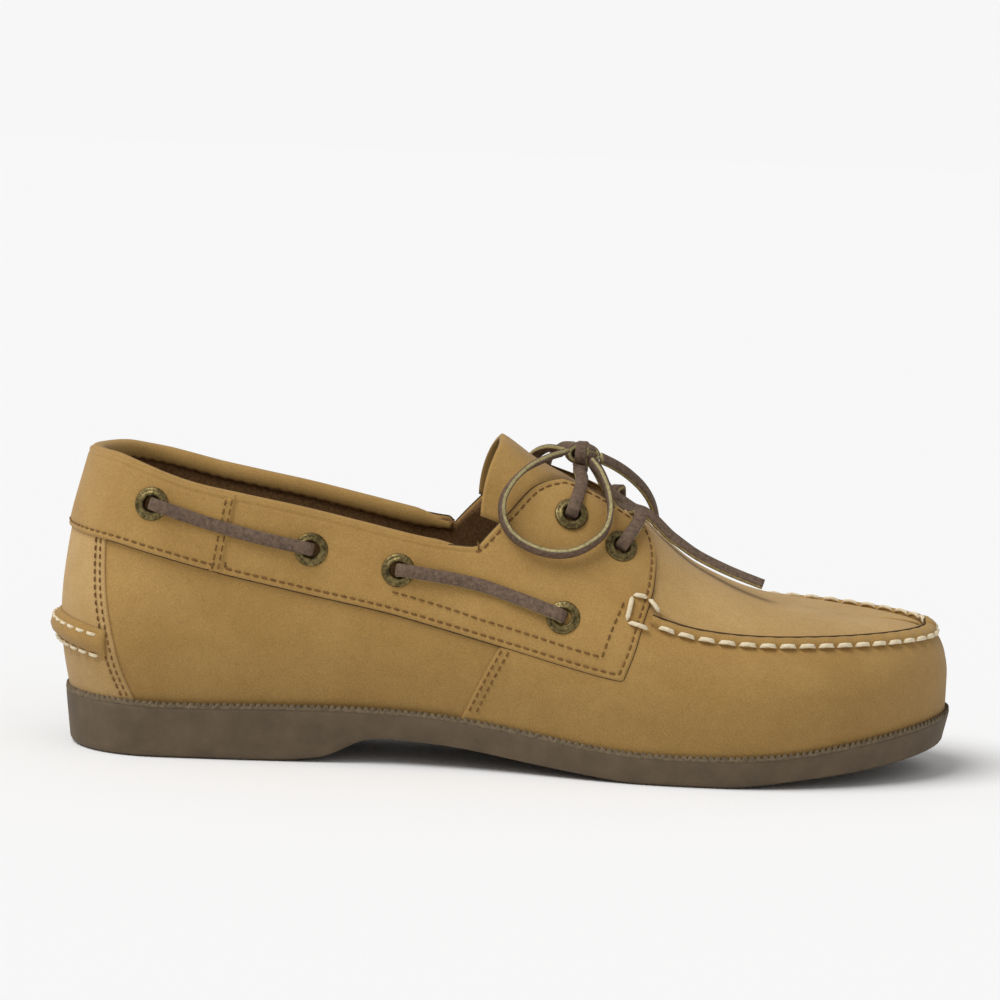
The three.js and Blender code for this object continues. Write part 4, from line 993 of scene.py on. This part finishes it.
# Turn of the vamp's rear edge at each level
def seamAtLevel(inner, levels):
    heights = lastPoints(np.full_like(levels, 0.53 + (0.94 if inner else 0)), levels)[:, 2]
    share = (heights - quarter["footHeight"]) / (quarter["headHeight"] - quarter["footHeight"])
    at = mix(quarter["seamFoot"], quarter["seamHead"], share) / shoe["soleLength"]
    return 2 - turnOf(at) if inner else turnOf(at)


# The quarters end under the collar band and the eyestays
def underBand(turns):
    at = shareOf(turns)
    high = levelAtHeight(turns, bandHeight(np.minimum(at, quarter["bandEnd"])) + quarter["underBand"])
    return np.where(at < quarter["bandEnd"], high, quarter["topLevel"])


def makeQuarters():
    for inner in (False, True):
        at = np.linspace(0.0, quarter["frontAt"], 220)
        turns = turnOf(np.maximum(at, 0.0002))
        turns = 2 - turns if inner else turns
        levels = underBand(turns)[None, :] * np.linspace(0, 1, 60)[:, None]
        sheets = [facePoints(turns[None, :], levels, quarter[side]) for side in ("out", "under")]
        points, faces = thickGrid(*[sheet[:, ::-1] if inner else sheet for sheet in sheets])
        addMesh("quarter" + sideName(inner), points, faces, tanNubuck)


def makeVamp():
    rows, columns = 56, 420
    share = np.linspace(0, 1, columns)
    levels = np.linspace(0, quarter["topLevel"], rows)
    first, last = seamAtLevel(False, levels), seamAtLevel(True, levels)
    turns = mix(first[:, None], last[:, None], share[None, :])
    grid = np.broadcast_to(levels[:, None], turns.shape)
    edge = np.minimum(share, 1 - share)[None, :] * 400
    thick = quarter["thickness"] - quarter["skive"] * np.exp(-(edge / 0.5) ** 2)
    outer = facePoints(turns, grid, quarter["out"] + thick)
    points, faces = thickGrid(outer, facePoints(turns, grid, quarter["vampUnder"]))
    addMesh("vamp", points, faces, tanNubuck)
    for inner, line in ((False, first), (True, last)):
        runs = []
        for shift in quarter["stitchInsets"]:
            keep = (levels > 0.12) & (levels < 1.75)
            flat = toFlat(line[keep], levels[keep])
            flat[:, 0] += -shift if inner else shift
            runs.append(faceRun(flat, quarter["stitchOut"]))
        addStitches("vampSeamStitches" + sideName(inner), runs, quarter["stitch"], brownThread)


makeOutsole()
makeRim()
makeInsole()
print("sole made")
makeLining()
makeQuarters()
makeVamp()
print("upper, lining and vamp made")


# Raised moccasin seam: turned-up leather gathered by its hand stitches. A section gives the
# places across and out of the face, a stitch its length, gap, width and height.
ridge = {
    "startAt": 0.645, "level": 2.0, "pitch": 6.6, "gather": 0.175, "crease": 0.12,
    "seat": 0.75, "fullness": 0.8,
    "section": [(2.5, 0.2), (2.45, 1.6), (2.0, 2.3), (1.2, 2.75), (0.1, 2.95), (-1.2, 2.8),
                (-2.3, 2.25), (-3.1, 1.4), (-3.5, 0.6), (-3.6, 0.2)],
    "stitch": (5.6, 1.0, 1.75, 1.1),
    "stitchRows": [(-3.15, 1.95, slice(4, -4)), (2.6, 1.9, slice(350, -30))],
    # edge places the painted shadow cord along the plug's side of the ridge
    "edge": (2.25, 2.5, slice(0, 360)),
}


def makeRidge():
    start = turnOf(ridge["startAt"])
    turns = np.linspace(start, 2 - start, 700)
    middle = np.full_like(turns, ridge["level"])
    pleat = np.cos(2 * np.pi * pathLengths(facePoints(turns, middle, 1.0)) / ridge["pitch"])
    rings = []
    for across, out in ridge["section"]:
        level = levelUp(turns, middle, across - ridge["crease"] * pleat * np.sign(across))
        swell = out + ridge["gather"] * pleat * min(out / 2.5, 1)
        rings.append(facePoints(turns, level, ridge["seat"] + swell * ridge["fullness"]))
    addRoll("moccasinRidge", rings, tanNubuck, ("moccasin_seam",), flip=True)
    runs = []
    for across, out, part in (*ridge["stitchRows"], ridge["edge"]):
        level = levelUp(turns, middle, across)
        runs.append((facePoints(turns, level, out)[part], faceNormals(turns, level)[part]))
    # Painted shadow line where the plug meets the ridge
    addShadowCords("plugSeamShadow", runs[-1:])
    addStitches("moccasinStitches", runs[:-1], ridge["stitch"], creamThread)


shadowCordSize = {"radius": 0.4, "columns": 6}


# Painted seam shadow: a fine dark cord along a panel's edge, standing in for the shade in the gap there
def addShadowCords(name, lines):
    points, faces = [], []
    columns = shadowCordSize["columns"]
    angles = np.linspace(0, 2 * np.pi, columns, endpoint=False)
    for line, normals in lines:
        across = np.cross(normals, unit(np.gradient(line, axis=0)))
        rings = np.stack([line + (across * math.cos(a) + normals * math.sin(a)) * shadowCordSize["radius"]
                          for a in angles], 1)
        faces += gridFaces(len(line), columns, len(points), closed=True)
        points += list(rings.reshape(-1, 3))
    addMesh(name, points, faces, paintedShadowLine)


# Plug inside the ridge, tucked under the eyestays
plug = {"backAt": 0.6, "frontAt": 0.643, "low": 2.2, "sunk": 0.25, "proud": 0.75, "under": 0.1,
        "openFrom": 8, "openTo": 30, "rimDip": 0.6, "rimFall": 22}


def makePlug():
    rows, columns = 46, 300
    rise = np.linspace(0, 1, rows)[:, None]
    start = turnOf(mix(plug["backAt"], plug["frontAt"], rise ** 3))
    share = np.linspace(0, 1, columns)[None, :]
    turns = mix(start, 2 - start, share)
    low = levelUp(turns[0], np.full(columns, ridge["level"]), plug["low"])[None, :]
    levels = mix(low, 3.0, rise)
    fromEnd = np.minimum(share, 1 - share) * columns / 2
    ahead = smoothStep(fromEnd, plug["openFrom"], plug["openTo"])
    dip = np.exp(-rise * plug["rimFall"]) * plug["rimDip"]
    top = facePoints(turns, levels, plug["sunk"] + (plug["proud"] - dip) * ahead)
    top[-1] = (top[-1] + top[-1, ::-1]) / 2
    points, faces = thickGrid(top, facePoints(turns, levels, plug["under"]))
    addMesh("plug", points, faces, paintedHighlightNubuck, ("plug",))


# Tongue, bowed over the foot, its back edge a little curled
tongue = {"backAt": 0.456, "bow": 0.031, "frontAt": 0.66, "lowLevel": 2.1, "out": -2.5, "thickness": 2.0,
          "curl": 1.6, "curlReach": 0.06, "dip": 0.8, "dipReach": 0.1}


def makeTongue():
    share = np.linspace(0, 1, 70)[None, :]
    rows = np.linspace(0, 1, 60)[:, None]
    bow = 4 * share * (1 - share)
    at = mix(tongue["backAt"] + tongue["bow"] * bow ** 2, tongue["frontAt"], rows)
    turns = np.where(share <= 0.5, turnOf(at), 2 - turnOf(at))
    levels = mix(tongue["lowLevel"], 3.0, 1 - np.abs(2 * share - 1)) * np.ones_like(rows)
    curl = tongue["curl"] * np.exp(-rows / tongue["curlReach"]) * (1 - bow)
    out = tongue["out"] + curl - tongue["dip"] * np.exp(-rows / tongue["dipReach"]) * bow
    top, under = facePoints(turns, levels, out), facePoints(turns, levels, out - tongue["thickness"])
    points, faces = thickGrid(top, under)
    addMesh("tongue", points, [face[::-1] for face in faces], tanNubuck, ("tongue",))


# Rolled top edge round the collar, from one notch to the other, closed along its inside seam.
# The inside seam puckers, and both ends taper into the notches.
collar = {
    "outerAt": 0.455, "innerAt": 0.428, "count": 360, "pucker": 0.22, "pitch": 4.2, "seamBelow": -3,
    "taper": 14, "endShare": 0.5, "endSink": 1.2, "endDrop": 1.6,
    "section": [(1.75, -1.4), (1.85, -0.3), (1.45, 0.45), (0.5, 0.9), (-0.8, 0.85), (-1.9, 0.35),
                (-2.8, -0.7), (-3.3, -2.2), (-3.35, -3.6), (-2.9, -4.6), (-2.1, -4.4), (0.2, -3)],
}


def makeCollarRoll():
    turns = np.linspace(turnOf(collar["outerAt"]), -turnOf(collar["innerAt"]), collar["count"])
    wrapped = np.mod(turns, 2)
    levels = levelAtHeight(wrapped, collarHeight(wrapped > 1, shareOf(turns)))
    base, normals = facePoints(wrapped, levels, 0.0), faceNormals(wrapped, levels)
    up = unit(lastPoints(wrapped, levels) - lastPoints(wrapped, levels - 0.03))
    lengths = pathLengths(base)
    pucker = collar["pucker"] * np.cos(2 * np.pi * lengths / collar["pitch"])
    taper = smoothStep(np.minimum(lengths, lengths[-1] - lengths), 0, collar["taper"])[:, None]
    size = mix(collar["endShare"], 1, taper)
    rings = []
    for out, rise in collar["section"]:
        high = np.reshape(rise + (pucker if rise < collar["seamBelow"] else 0), (-1, 1))
        rings.append(base + normals * (out * size - collar["endSink"] * (1 - taper))
                     + up * (high * size - collar["endDrop"] * (1 - taper)))
    addRoll("collarRoll", rings, tanNubuck)


# Collar band round the heel, with a narrow seam strip over each of its front edges. The flat
# holes of its eyelets lie on the panel's unrolled plan.
band = {
    "headAt": 0.19, "lap": 0.8, "rows": 22, "columns": 110, "below": 0.3, "step": 1.5, "extra": 0.6,
    "stitchOut": 2.3, "stitchReach": 4, "shadowOut": 0.4, "seamLap": 0.9, "seamLow": 0.6, "seamHigh": 1.2,
    "section": [(-0.1, 0.8), (0, 1.9), (0.5, 2.35), (2.15, 2.45), (3.8, 2.35), (4.3, 1.9), (4.35, 0.8)],
    "seamStitches": [1.15, 3.15], "seamOut": 2.5, "seamShadowCords": [(1, 1.0), (5, 1.9)],
}


# Places along the seam that closes the collar band, from its foot to its head
def seamPlaces(heights, low, high, lap):
    lean = stay["seamLean"] * (heights - low) / (high - low)
    return stay["seamAt"] * shoe["soleLength"] + lap + lean


def bandOutline():
    ends = []
    for inner in (True, False):
        low, high = float(bandHeight(stay["seamAt"])), float(collarHeight(inner, band["headAt"]))
        z = np.linspace(low, high, band["rows"])
        turn, level = locate(inner, seamPlaces(z, low, high, band["lap"]), z)
        ends.append(toFlat(np.where(turn > 1, turn - 2, turn), level))
    innerEnd, outerEnd = ends
    spread = np.linspace(innerEnd[0][0], outerEnd[0][0], band["columns"])
    turns = np.interp(spread, alongTable, tableTurns)
    low = toFlat(turns, levelAtHeight(np.mod(turns, 2), bandHeight(shareOf(turns))))
    spread = np.linspace(outerEnd[-1][0], innerEnd[-1][0], band["columns"])
    turns = np.interp(spread, alongTable, tableTurns)
    height = collarHeight(turns < 0, shareOf(turns)) - band["below"]
    high = toFlat(turns, levelAtHeight(np.mod(turns, 2), height))
    line = np.concatenate([low, outerEnd[1:-1], high, innerEnd[::-1][1:-1]])
    return resample(np.concatenate([line, line[:1]]), band["step"])[:-1]


def flatPlace(name, inner):
    turn, level = eyeletPlaces[name, inner]
    return toFlat(np.array([turn]), np.array([level]))[0]


# Parts of a line in a row that are kept, each as indexes
def keptParts(keep):
    cuts = np.where(np.diff(keep.astype(int)) != 0)[0] + 1
    parts = np.split(np.arange(len(keep)), cuts)
    return [part for part in parts if keep[part[0]] and len(part) > 3]


def makeCollarBand():
    around = alongTable[np.searchsorted(tableTurns, 2)]
    holes = [flatPlace("heel", False), flatPlace("heel", True) - np.array([around, 0])]
    outline = bandOutline()
    ring = addPanel("collarBand", outline, tanNubuck, ("collar_band",), shoe["seatGap"],
                    shoe["overlay"] + band["extra"], holes)
    line = np.concatenate([ring, ring[:1]])
    turn, level = fromFlat(line)
    foot = bandHeight(shareOf(turn)) + band["stitchReach"]
    parts = keptParts(level < levelAtHeight(np.mod(turn, 2), foot))
    return [faceRun(line[part], band["stitchOut"]) for part in parts], [faceRun(outline, band["shadowOut"])]


def makeBandSeam(inner):
    low, high = float(bandHeight(stay["seamAt"])), float(collarHeight(inner, band["headAt"]))
    z = np.linspace(low + band["seamLow"], high - band["seamHigh"], 24)
    x = seamPlaces(z, low, high, band["seamLap"])
    places = [locate(inner, x - back, z) for back, _ in band["section"]]
    rings = [facePoints(*place, out) for place, (_, out) in zip(places, band["section"])]
    addRoll("bandSeam" + sideName(inner), rings, tanNubuck, flip=inner)
    runs = [faceRun(toFlat(*locate(inner, x - back, z)), band["seamOut"]) for back in band["seamStitches"]]
    return runs, [faceRun(toFlat(*places[k]), out) for k, out in band["seamShadowCords"]]


# Eyestay: its stitches leave out the collar's edge and the part under the seam strip. Rows of
# stitches hold its foot and bar to the quarter, as places in x and z.
eyestay = {
    "step": 1.5, "shadowOut": 0.85, "stitchOut": 1.72, "collarAt": 0.455, "collarReach": 4.5, "seamReach": 0.03,
    "rowOut": 2.0, "bar": [(136.8, 76.0), (137.4, 72.2)],
    "foot": [(109.2, 58.4), (138.6, 50.7), (164.8, 44.2), (178.5, 41.1), (181.4, 49.7), (185.2, 58.5)],
    "stitch": (2.2, 0.75, 0.52, 0.42),
}


def makeEyestay(inner):
    side = sideName(inner)
    flats = stayLines[inner]
    outline = resample(np.concatenate([*flats, flats[0][:1]]), eyestay["step"])[:-1]
    holes = [flatPlace(name, inner) for name in tuple(eyelets)[1:]]
    ring = addPanel("eyestay" + side, outline, tanNubuck, ("eyestay_" + side.lower(),), shoe["seatGap"],
                    shoe["overlay"], holes)
    points, normals = faceRun(np.concatenate([ring, ring[:1]]), eyestay["stitchOut"])
    at, high = points[:, 0] / shoe["soleLength"], points[:, 2]
    reach = eyestay["collarReach"]
    bare = ((at < eyestay["collarAt"]) & (high > collarHeight(inner, at) - reach)
            | (at < stay["seamAt"] + eyestay["seamReach"]) & (high > bandHeight(at) + reach))
    runs = [(points[part], normals[part]) for part in keptParts(~bare)]
    for row, shift in ((eyestay["foot"], 0), (eyestay["bar"], stay["innerShift"] if inner else 0)):
        x, z = np.array(row).T
        runs.append(faceRun(toFlat(*locate(inner, x - shift, z)), eyestay["rowOut"]))
    return runs, [faceRun(np.concatenate([outline, outline[:1]]), eyestay["shadowOut"])]


def makePanels():
    runs, edges = makeCollarBand()
    for makeSide in (makeBandSeam, makeEyestay):
        for inner in (False, True):
            sideRuns, sideShadowCords = makeSide(inner)
            runs += sideRuns
            edges += sideShadowCords
    addStitches("panelStitches", runs, eyestay["stitch"], brownThread)
    # Painted shadow lines along the panels' edges and the seam strips
    addShadowCords("panelSeamShadows", edges)


# Heel counter: its front edge as places along the sole and shares of its height, skived thin
# at the edge and pressed in along its stitches
counter = {
    "edge": [(0.088, 0), (0.073, 0.18), (0.064, 0.36), (0.055, 0.6), (0.047, 1)],
    "thickness": 1.0, "foot": 1.5, "head": 5, "out": 0.28, "under": 0.1, "lowestLevel": 0.004,
    "reach": 160, "dips": [(0.4, 0), (0.22, 2.2)], "dipWidth": 0.5,
    "stitchInsets": [1.6, 3.9], "stitchOut": 1.3, "stitch": (1.7, 0.8, 0.6, 0.45),
}


def makeCounter():
    rise = np.linspace(0, 1, 60)
    half = turnOf(alongRows(np.array(counter["edge"])[:, ::-1], 1, rise))
    share = np.linspace(-1, 1, 121)
    turns = share[None, :] * half[:, None]
    heights = mix(shoe["heelHeight"] - counter["foot"], bandHeight(0.0) + counter["head"], rise)
    levels = np.stack([levelAtHeight(np.mod(row, 2), height) for row, height in zip(turns, heights)])
    levels = np.maximum(levels, counter["lowestLevel"])
    wrapped = np.mod(turns, 2)
    fromEdge = np.minimum(share + 1, 1 - share)[None, :] * half[:, None] * counter["reach"]
    thick = counter["thickness"]
    for depth, place in counter["dips"]:
        thick = thick - depth * np.exp(-((fromEdge - place) / counter["dipWidth"]) ** 2)
    top = facePoints(wrapped, levels, counter["out"] + thick)
    points, faces = thickGrid(top, facePoints(wrapped, levels, counter["under"]))
    addMesh("heelCounter", points, faces, paintedHighlightNubuck, ("heel_counter",))
    runs = []
    for sign in (1, -1):
        for inset in counter["stitchInsets"]:
            flat = toFlat(sign * half[2:-6], levels[2:-6, -1 if sign > 0 else 0])
            flat[:, 0] -= sign * inset
            turn, level = fromFlat(resample(flat, 0.8))
            turn = np.mod(turn, 2)
            runs.append((facePoints(turn, level, counter["stitchOut"]), faceNormals(turn, level)))
    addStitches("counterStitches", runs, counter["stitch"], brownThread)


# Padded strip round the heel over the counter's head, flatter and lower towards its ends
strip = {
    "at": 0.058, "height": 39.5, "fall": 3.2, "seat": 1.2, "endShare": 0.35,
    "section": [(5.2, 1.3), (4.6, 2.2), (3.6, 3.1), (2.4, 4.4), (0.6, 5.0), (-1.0, 4.6),
                (-2.2, 3.4), (-3.2, 2.6), (-4.4, 2.4), (-5.0, 1.8), (-5.2, 1.2)],
    "stitchRows": [(3.1, 3.5), (-3.9, 2.55)], "stitch": (3.6, 1.3, 1.25, 0.8),
}


def makeHeelStrip():
    end = turnOf(strip["at"])
    turns = np.linspace(-end, end, 110)
    wrapped = np.mod(turns, 2)
    fade = mix(strip["endShare"], 1, np.sqrt(np.clip(1 - (turns / end) ** 4, 0, 1)))
    level = levelAtHeight(wrapped, strip["height"] - strip["fall"] * shareOf(turns) / strip["at"])
    seat = strip["seat"]
    rings = [facePoints(wrapped, levelUp(wrapped, level, across), seat + (out - seat) * fade)
             for across, out in strip["section"]]
    addRoll("heelStrip", rings, tanNubuck, ("heel_strip",), flip=True)
    runs = []
    for across, out in strip["stitchRows"]:
        row = levelUp(wrapped, level, across)
        line = facePoints(wrapped, row, seat + (out - seat + 0.1) * fade)
        runs.append((line[4:-3], faceNormals(wrapped, row)[4:-3]))
    addStitches("heelStripStitches", runs, strip["stitch"], creamThread)


# Bartack of thick thread that ties each eyestay's front edge to the vamp, as places in x and z
bartack = {
    "spots": [[(187.8, 60.2), (186.1, 52.4)], [(186.4, 52.0), (193.4, 50.0)], [(188, 60.4), (192.8, 59.5)],
              [(193.0, 59.3), (196.7, 54.9)]],
    "out": 2.4, "stitch": (5.5, 0.3, 1.6, 1.0),
}


def makeBartacks():
    runs = []
    for inner in (False, True):
        for spot in bartack["spots"]:
            x, z = np.array(spot).T
            turn, level = locate(inner, x, z + (shoe["seamInnerLift"] if inner else 0))
            runs.append((facePoints(turn, level, bartack["out"]), faceNormals(turn, level)))
    addStitches("bartackStitches", runs, bartack["stitch"], creamThread)


makeRidge()
makePlug()
makeTongue()
makeCollarRoll()
makePanels()
makeCounter()
makeHeelStrip()
makeBartacks()
print("panels and stitches made")


def facePlace(name, inner, out=1.9):
    turn, level = (np.array([v]) for v in eyeletPlaces[name, inner])
    return facePoints(turn, level, out)[0], faceNormals(turn, level)[0]


# Brass eyelet: rolled flange with a plain beaded ring, and a barrel through the leather. The
# profile gives radius and height from the barrel round the flange.
eyeletShape = {
    "profile": [(2.75, -3.2), (2.75, 0.55), (2.9, 0.95), (3.3, 1.12), (3.75, 0.98), (4.0, 0.82),
                (4.7, 0.72), (5.05, 0.66), (5.4, 0.4), (5.5, 0.05), (5.4, -0.3), (3.3, -0.3), (3.3, -3.2)],
    "out": 1.7, "heelLift": 0.6, "around": 44,
    "beads": 22, "beadRing": 4.4, "beadSize": 0.3, "beadLength": 1.6, "beadOut": 0.72,
}


def makeEyelets():
    profile, around = eyeletShape["profile"], eyeletShape["around"]
    columns = len(profile)
    for name, inner in eyeletPlaces:
        lift = eyeletShape["heelLift"] if name == "heel" else 0
        centre, normal = facePlace(name, inner, eyeletShape["out"] + lift)
        first = unit(np.cross(normal, [0.0, 0.0, 1.0]))
        second = np.cross(normal, first)
        points, faces = [], []
        for k in range(around):
            angle = 2 * math.pi * k / around
            ray = first * math.cos(angle) + second * math.sin(angle)
            points += [centre + ray * radius + normal * height for radius, height in profile]
            here, ahead = k * columns, (k + 1) % around * columns
            for c in range(columns):
                d = (c + 1) % columns
                faces.append((here + c, ahead + c, ahead + d, here + d))
        for k in range(eyeletShape["beads"]):
            angle = 2 * math.pi * k / eyeletShape["beads"]
            ray = first * math.cos(angle) + second * math.sin(angle)
            middle = centre + ray * eyeletShape["beadRing"] + normal * eyeletShape["beadOut"]
            size, start = eyeletShape["beadSize"], len(points)
            along, side = ray * size * eyeletShape["beadLength"], np.cross(normal, ray) * size
            points += [middle + along, middle + side, middle - along, middle - side,
                       middle + normal * size, middle - normal * size]
            for a in range(4):
                b = (a + 1) % 4
                faces += [(start + a, start + b, start + 4), (start + b, start + a, start + 5)]
        side = sideName(inner)
        addMesh("eyelet" + name.capitalize() + side, points, faces, agedBrass,
                (f"eyelet_{name}_{side.lower()}",))


# Flat rawhide lace: brown faces and pale cut edges. It bends through the eyelets, rests on the
# face between them and its hidden ends stop inside the shoe.
lace = {"width": 4.2, "thickness": 1.8, "corner": 0.4, "step": 1.0, "bend": 1.7, "closest": 0.15,
        "gap": 0.25, "overEyelet": 1.15, "inside": -2.0}


def laceMesh(points, ups, width=lace["width"]):
    path = np.asarray(points, float)
    keep = np.concatenate([[True], np.linalg.norm(np.diff(path, axis=0), axis=1) > lace["closest"]])
    both = smoothLine(np.concatenate([path, np.asarray(ups, float) * 0.001], 1)[keep], lace["step"])
    centre, up = both[:, :3], unit(both[:, 3:] * 1000)
    along = unit(np.gradient(centre, axis=0))
    across = unit(np.cross(along, up))
    out = np.cross(across, along)
    w, t, e = width / 2, lace["thickness"] / 2, lace["corner"]
    section = [(-w, -t + e), (-w, t - e), (-w + e, t), (w - e, t), (w, t - e), (w, -t + e),
               (w - e, -t), (-w + e, -t)]
    rings = np.stack([centre + across * a + out * b for a, b in section], 1)
    faces = tubeFaces(len(centre), 8)
    sides = [1 if i % 8 in (0, 4) else 0 for i in range(len(faces) - 2)] + [1, 1]
    return rings.reshape(-1, 3), faces, sides, centre


def addLace(name, run, replaces):
    points, faces, sides, centre = laceMesh(*zip(*run))
    piece = addMesh(name, points, faces, [rawhide, rawhideEdge], replaces, sides=sides)
    return piece, centre


# Quarter turn from an eyelet's middle towards the place that the lace goes to
def laceBend(name, inner, target, face, height):
    place, normal = facePlace(name, inner)
    along = target - place
    along = unit(along - normal * (along @ normal))
    centre = place + normal * (height - face * lace["bend"]) + along * lace["bend"]
    rows = []
    for angle in np.radians([0, 30, 60, 90]):
        up = along * -math.cos(angle) + normal * face * math.sin(angle)
        rows.append((centre + up * lace["bend"], up))
    return rows


# Lace from one eyelet to the next, over the face or, with face -1, inside the wall
def laceRun(start, end, inner, face=1, steps=10):
    panel, wall = shoe["overlay"] + shoe["seatGap"], shoe["upperWall"]
    lift = lace["thickness"] / 2 + lace["gap"]
    height = lace["overEyelet"] + lift if face > 0 else -panel - wall - lift
    rest = panel + lift if face > 0 else -wall - lift
    over = height + panel if face > 0 else rest
    (turnA, levelA), (turnB, levelB) = eyeletPlaces[start, inner], eyeletPlaces[end, inner]
    share = np.linspace(0, 1, steps + 1)[1:-1]
    turn, level = mix(turnA, turnB, share), mix(levelA, levelB, share)
    ease = np.clip(4 * np.minimum(share, 1 - share) - 0.5, 0, 1)
    middle = facePoints(turn, level, mix(over, rest, ease))
    first = laceBend(start, inner, middle[0], face, height)
    last = laceBend(end, inner, middle[-1], face, height)
    return first + list(zip(middle, faceNormals(turn, level) * face)) + last[::-1]


def makeSideLaces():
    for inner in (False, True):
        run = laceRun("heel", "quarter", inner) + laceRun("quarter", "waist", inner, -1, 6)
        run += laceRun("waist", "vamp", inner)
        first, last = (facePlace(name, inner, lace["inside"])[0] for name in ("heel", "vamp"))
        side = sideName(inner)
        addLace("sideLace" + side, [(first, run[0][1])] + run + [(last, run[-1][1])],
                ("lace_side_" + side.lower(),))


# Laces over the throat. The instep's rises to the knot by its own route. The front one lies
# over the face, dips in its middle and leans forward on its outer half.
throat = {
    "route": [(170.4, -16.5, 95.0), (169.6, -9, 97.8), (169.8, -1, 98.6), (169.8, 8, 98), (171, 16.5, 96)],
    "steps": 14, "lean": 6.2, "leanShare": 0.45, "out": 3.7, "dip": 4.25, "dipFrom": 8, "dipTo": 16,
    "highest": 2.95, "rise": 1.25,
}


def crossing(name):
    (turnA, levelA), (turnB, levelB) = eyeletPlaces[name, False], eyeletPlaces[name, True]
    share = np.linspace(0, 1, throat["steps"] + 1)[1:-1]
    lean = throat["lean"] / shoe["soleLength"] * np.sin(np.pi * np.clip(share / throat["leanShare"], 0, 1))
    turn = mix(turnA, 2 - turnB, share)
    here = np.where(share < 0.5, turnOf(shareOf(turn) + lean), 2 - turn)
    rise = np.minimum(1, throat["rise"] * (1 - np.abs(2 * share - 1)))
    level = np.minimum(mix(mix(levelA, levelB, share), 3, rise), throat["highest"])
    aside = np.abs(facePoints(here, level, 0.0)[:, 1])
    dip = throat["dip"] * (1 - smoothStep(aside, throat["dipFrom"], throat["dipTo"]))
    return facePoints(here, level, throat["out"] - dip)


def makeThroatLaces():
    height = lace["overEyelet"] + lace["thickness"] / 2 + lace["gap"]
    for name, route in (("instep", np.array(throat["route"])), ("throat", crossing("throat"))):
        ends = []
        for inner, target in ((False, route[0]), (True, route[-1])):
            bend = laceBend(name, inner, target, 1, height)
            ends.append([(facePlace(name, inner, lace["inside"])[0], bend[0][1])] + bend)
        leans = np.linspace(-1, 1, len(route))
        middle = [(place, unit(np.array([0.15, 0.9 * lean, 1.0]))) for place, lean in zip(route, leans)]
        addLace(name + "Lace", ends[0] + middle + ends[1][::-1], ("lace_bar_" + name,))


# Bow: routes from the knot, the turns of lace that make the knot (two directions, two radii),
# and the way that the faces of its ends look
bow = {
    "knot": (170.5, -1, 102.6), "knotWidth": 3.8,
    "wraps": [((0.15, 1, 0.1), (0, -0.1, 1), 4.4, 3.4), ((1, 0.25, -0.1), (0.1, 0, 1), 5.0, 3.0),
              ((0.75, -0.7, 0.2), (0.1, 0.2, 1), 4.2, 2.4)],
    "outerLoop": [
        (164.5, -7, 103.5), (158.5, -17, 102.2), (151.9, -25, 99.3), (147, -29, 94.5),
        (144.5, -31.5, 89.1), (144.9, -33.4, 83.3), (148.1, -35, 78.2), (154.2, -36.2, 74.6),
        (160.9, -36.9, 73), (167.7, -36.8, 73.5), (173.6, -35.2, 76.2), (178.2, -32, 80.3),
        (179.9, -27.3, 86), (179, -21, 92), (176.6, -13, 97), (173.6, -8, 100.4)],
    "innerLoop": [
        (177, 3, 101), (182.3, 8, 98.2), (187.5, 13, 94.5), (192.5, 18.5, 89.5), (196, 24, 83.5),
        (197.6, 29.5, 76.5), (195.5, 35.5, 69.5), (189.5, 39.3, 64.5), (181, 41.5, 62),
        (172, 41.5, 63), (165, 39.5, 67.5), (160.5, 36.5, 75), (158.5, 32, 84), (159, 26.5, 93.5),
        (160.5, 21, 99.8), (163.5, 14.5, 103.2), (167, 9, 104)],
    "outerEnd": [
        (173, -1.5, 101.6), (176.5, -3, 96.5), (179, -3, 92), (182, -3, 89.3), (185.6, -3, 87),
        (188.6, -3, 85.2), (191.8, -3.5, 84.3), (195.4, -4, 81.8), (200.5, -5, 77.1), (205.5, -6, 73.6),
        (211.2, -6, 70.1), (221.3, -7, 65.7), (232.5, -8, 61.8)],
    "innerEnd": [
        (168.5, 1, 102.8), (164.5, 6, 103.4), (160.5, 12, 103.2), (156.5, 18.5, 101.2), (153.2, 25, 97),
        (150.8, 30, 91), (149, 33.2, 84), (147.6, 35.3, 77), (146.8, 37, 70)],
    "nodes": {"outerLoop": "lace_loop_outer", "innerLoop": "lace_loop_inner", "outerEnd": "lace_knot",
              "innerEnd": "lace_knot"},
    "looks": {"outerEnd": (0.0, -0.55, 1.0), "innerEnd": (0.0, 0.3, 1.0)},
}


def makeKnot():
    centre = np.array(bow["knot"], float)
    points, faces, sides = [], [], []
    for first, second, wide, high in bow["wraps"]:
        a = unit(np.array(first, float))
        b = unit(np.array(second, float) - a * (np.array(second, float) @ a))
        angles = np.linspace(0, 2 * np.pi, 25)
        path = [centre + a * wide * math.cos(s) + b * high * math.sin(s) for s in angles]
        ups = [unit(a * math.cos(s) / wide + b * math.sin(s) / high) for s in angles]
        ring, ringFaces, ringSides, _ = laceMesh(path, ups, bow["knotWidth"])
        faces += [tuple(i + len(points) for i in face) for face in ringFaces]
        points += list(ring)
        sides += ringSides
    return addMesh("bowKnot", points, faces, [rawhide, rawhideEdge], ("lace_knot",),
                   sides=sides)


def makeBow():
    knot = makeKnot()
    for name, node in bow["nodes"].items():
        route = np.array(bow[name], float)
        isLoop = "Loop" in name
        ups = unit(route - route.mean(0)) if isLoop else [bow["looks"][name]] * len(route)
        piece, centre = addLace("bow" + name[0].upper() + name[1:], list(zip(route, ups)), (node,))


makeEyelets()
makeSideLaces()
makeThroatLaces()
makeBow()
print("eyelets and laces made")
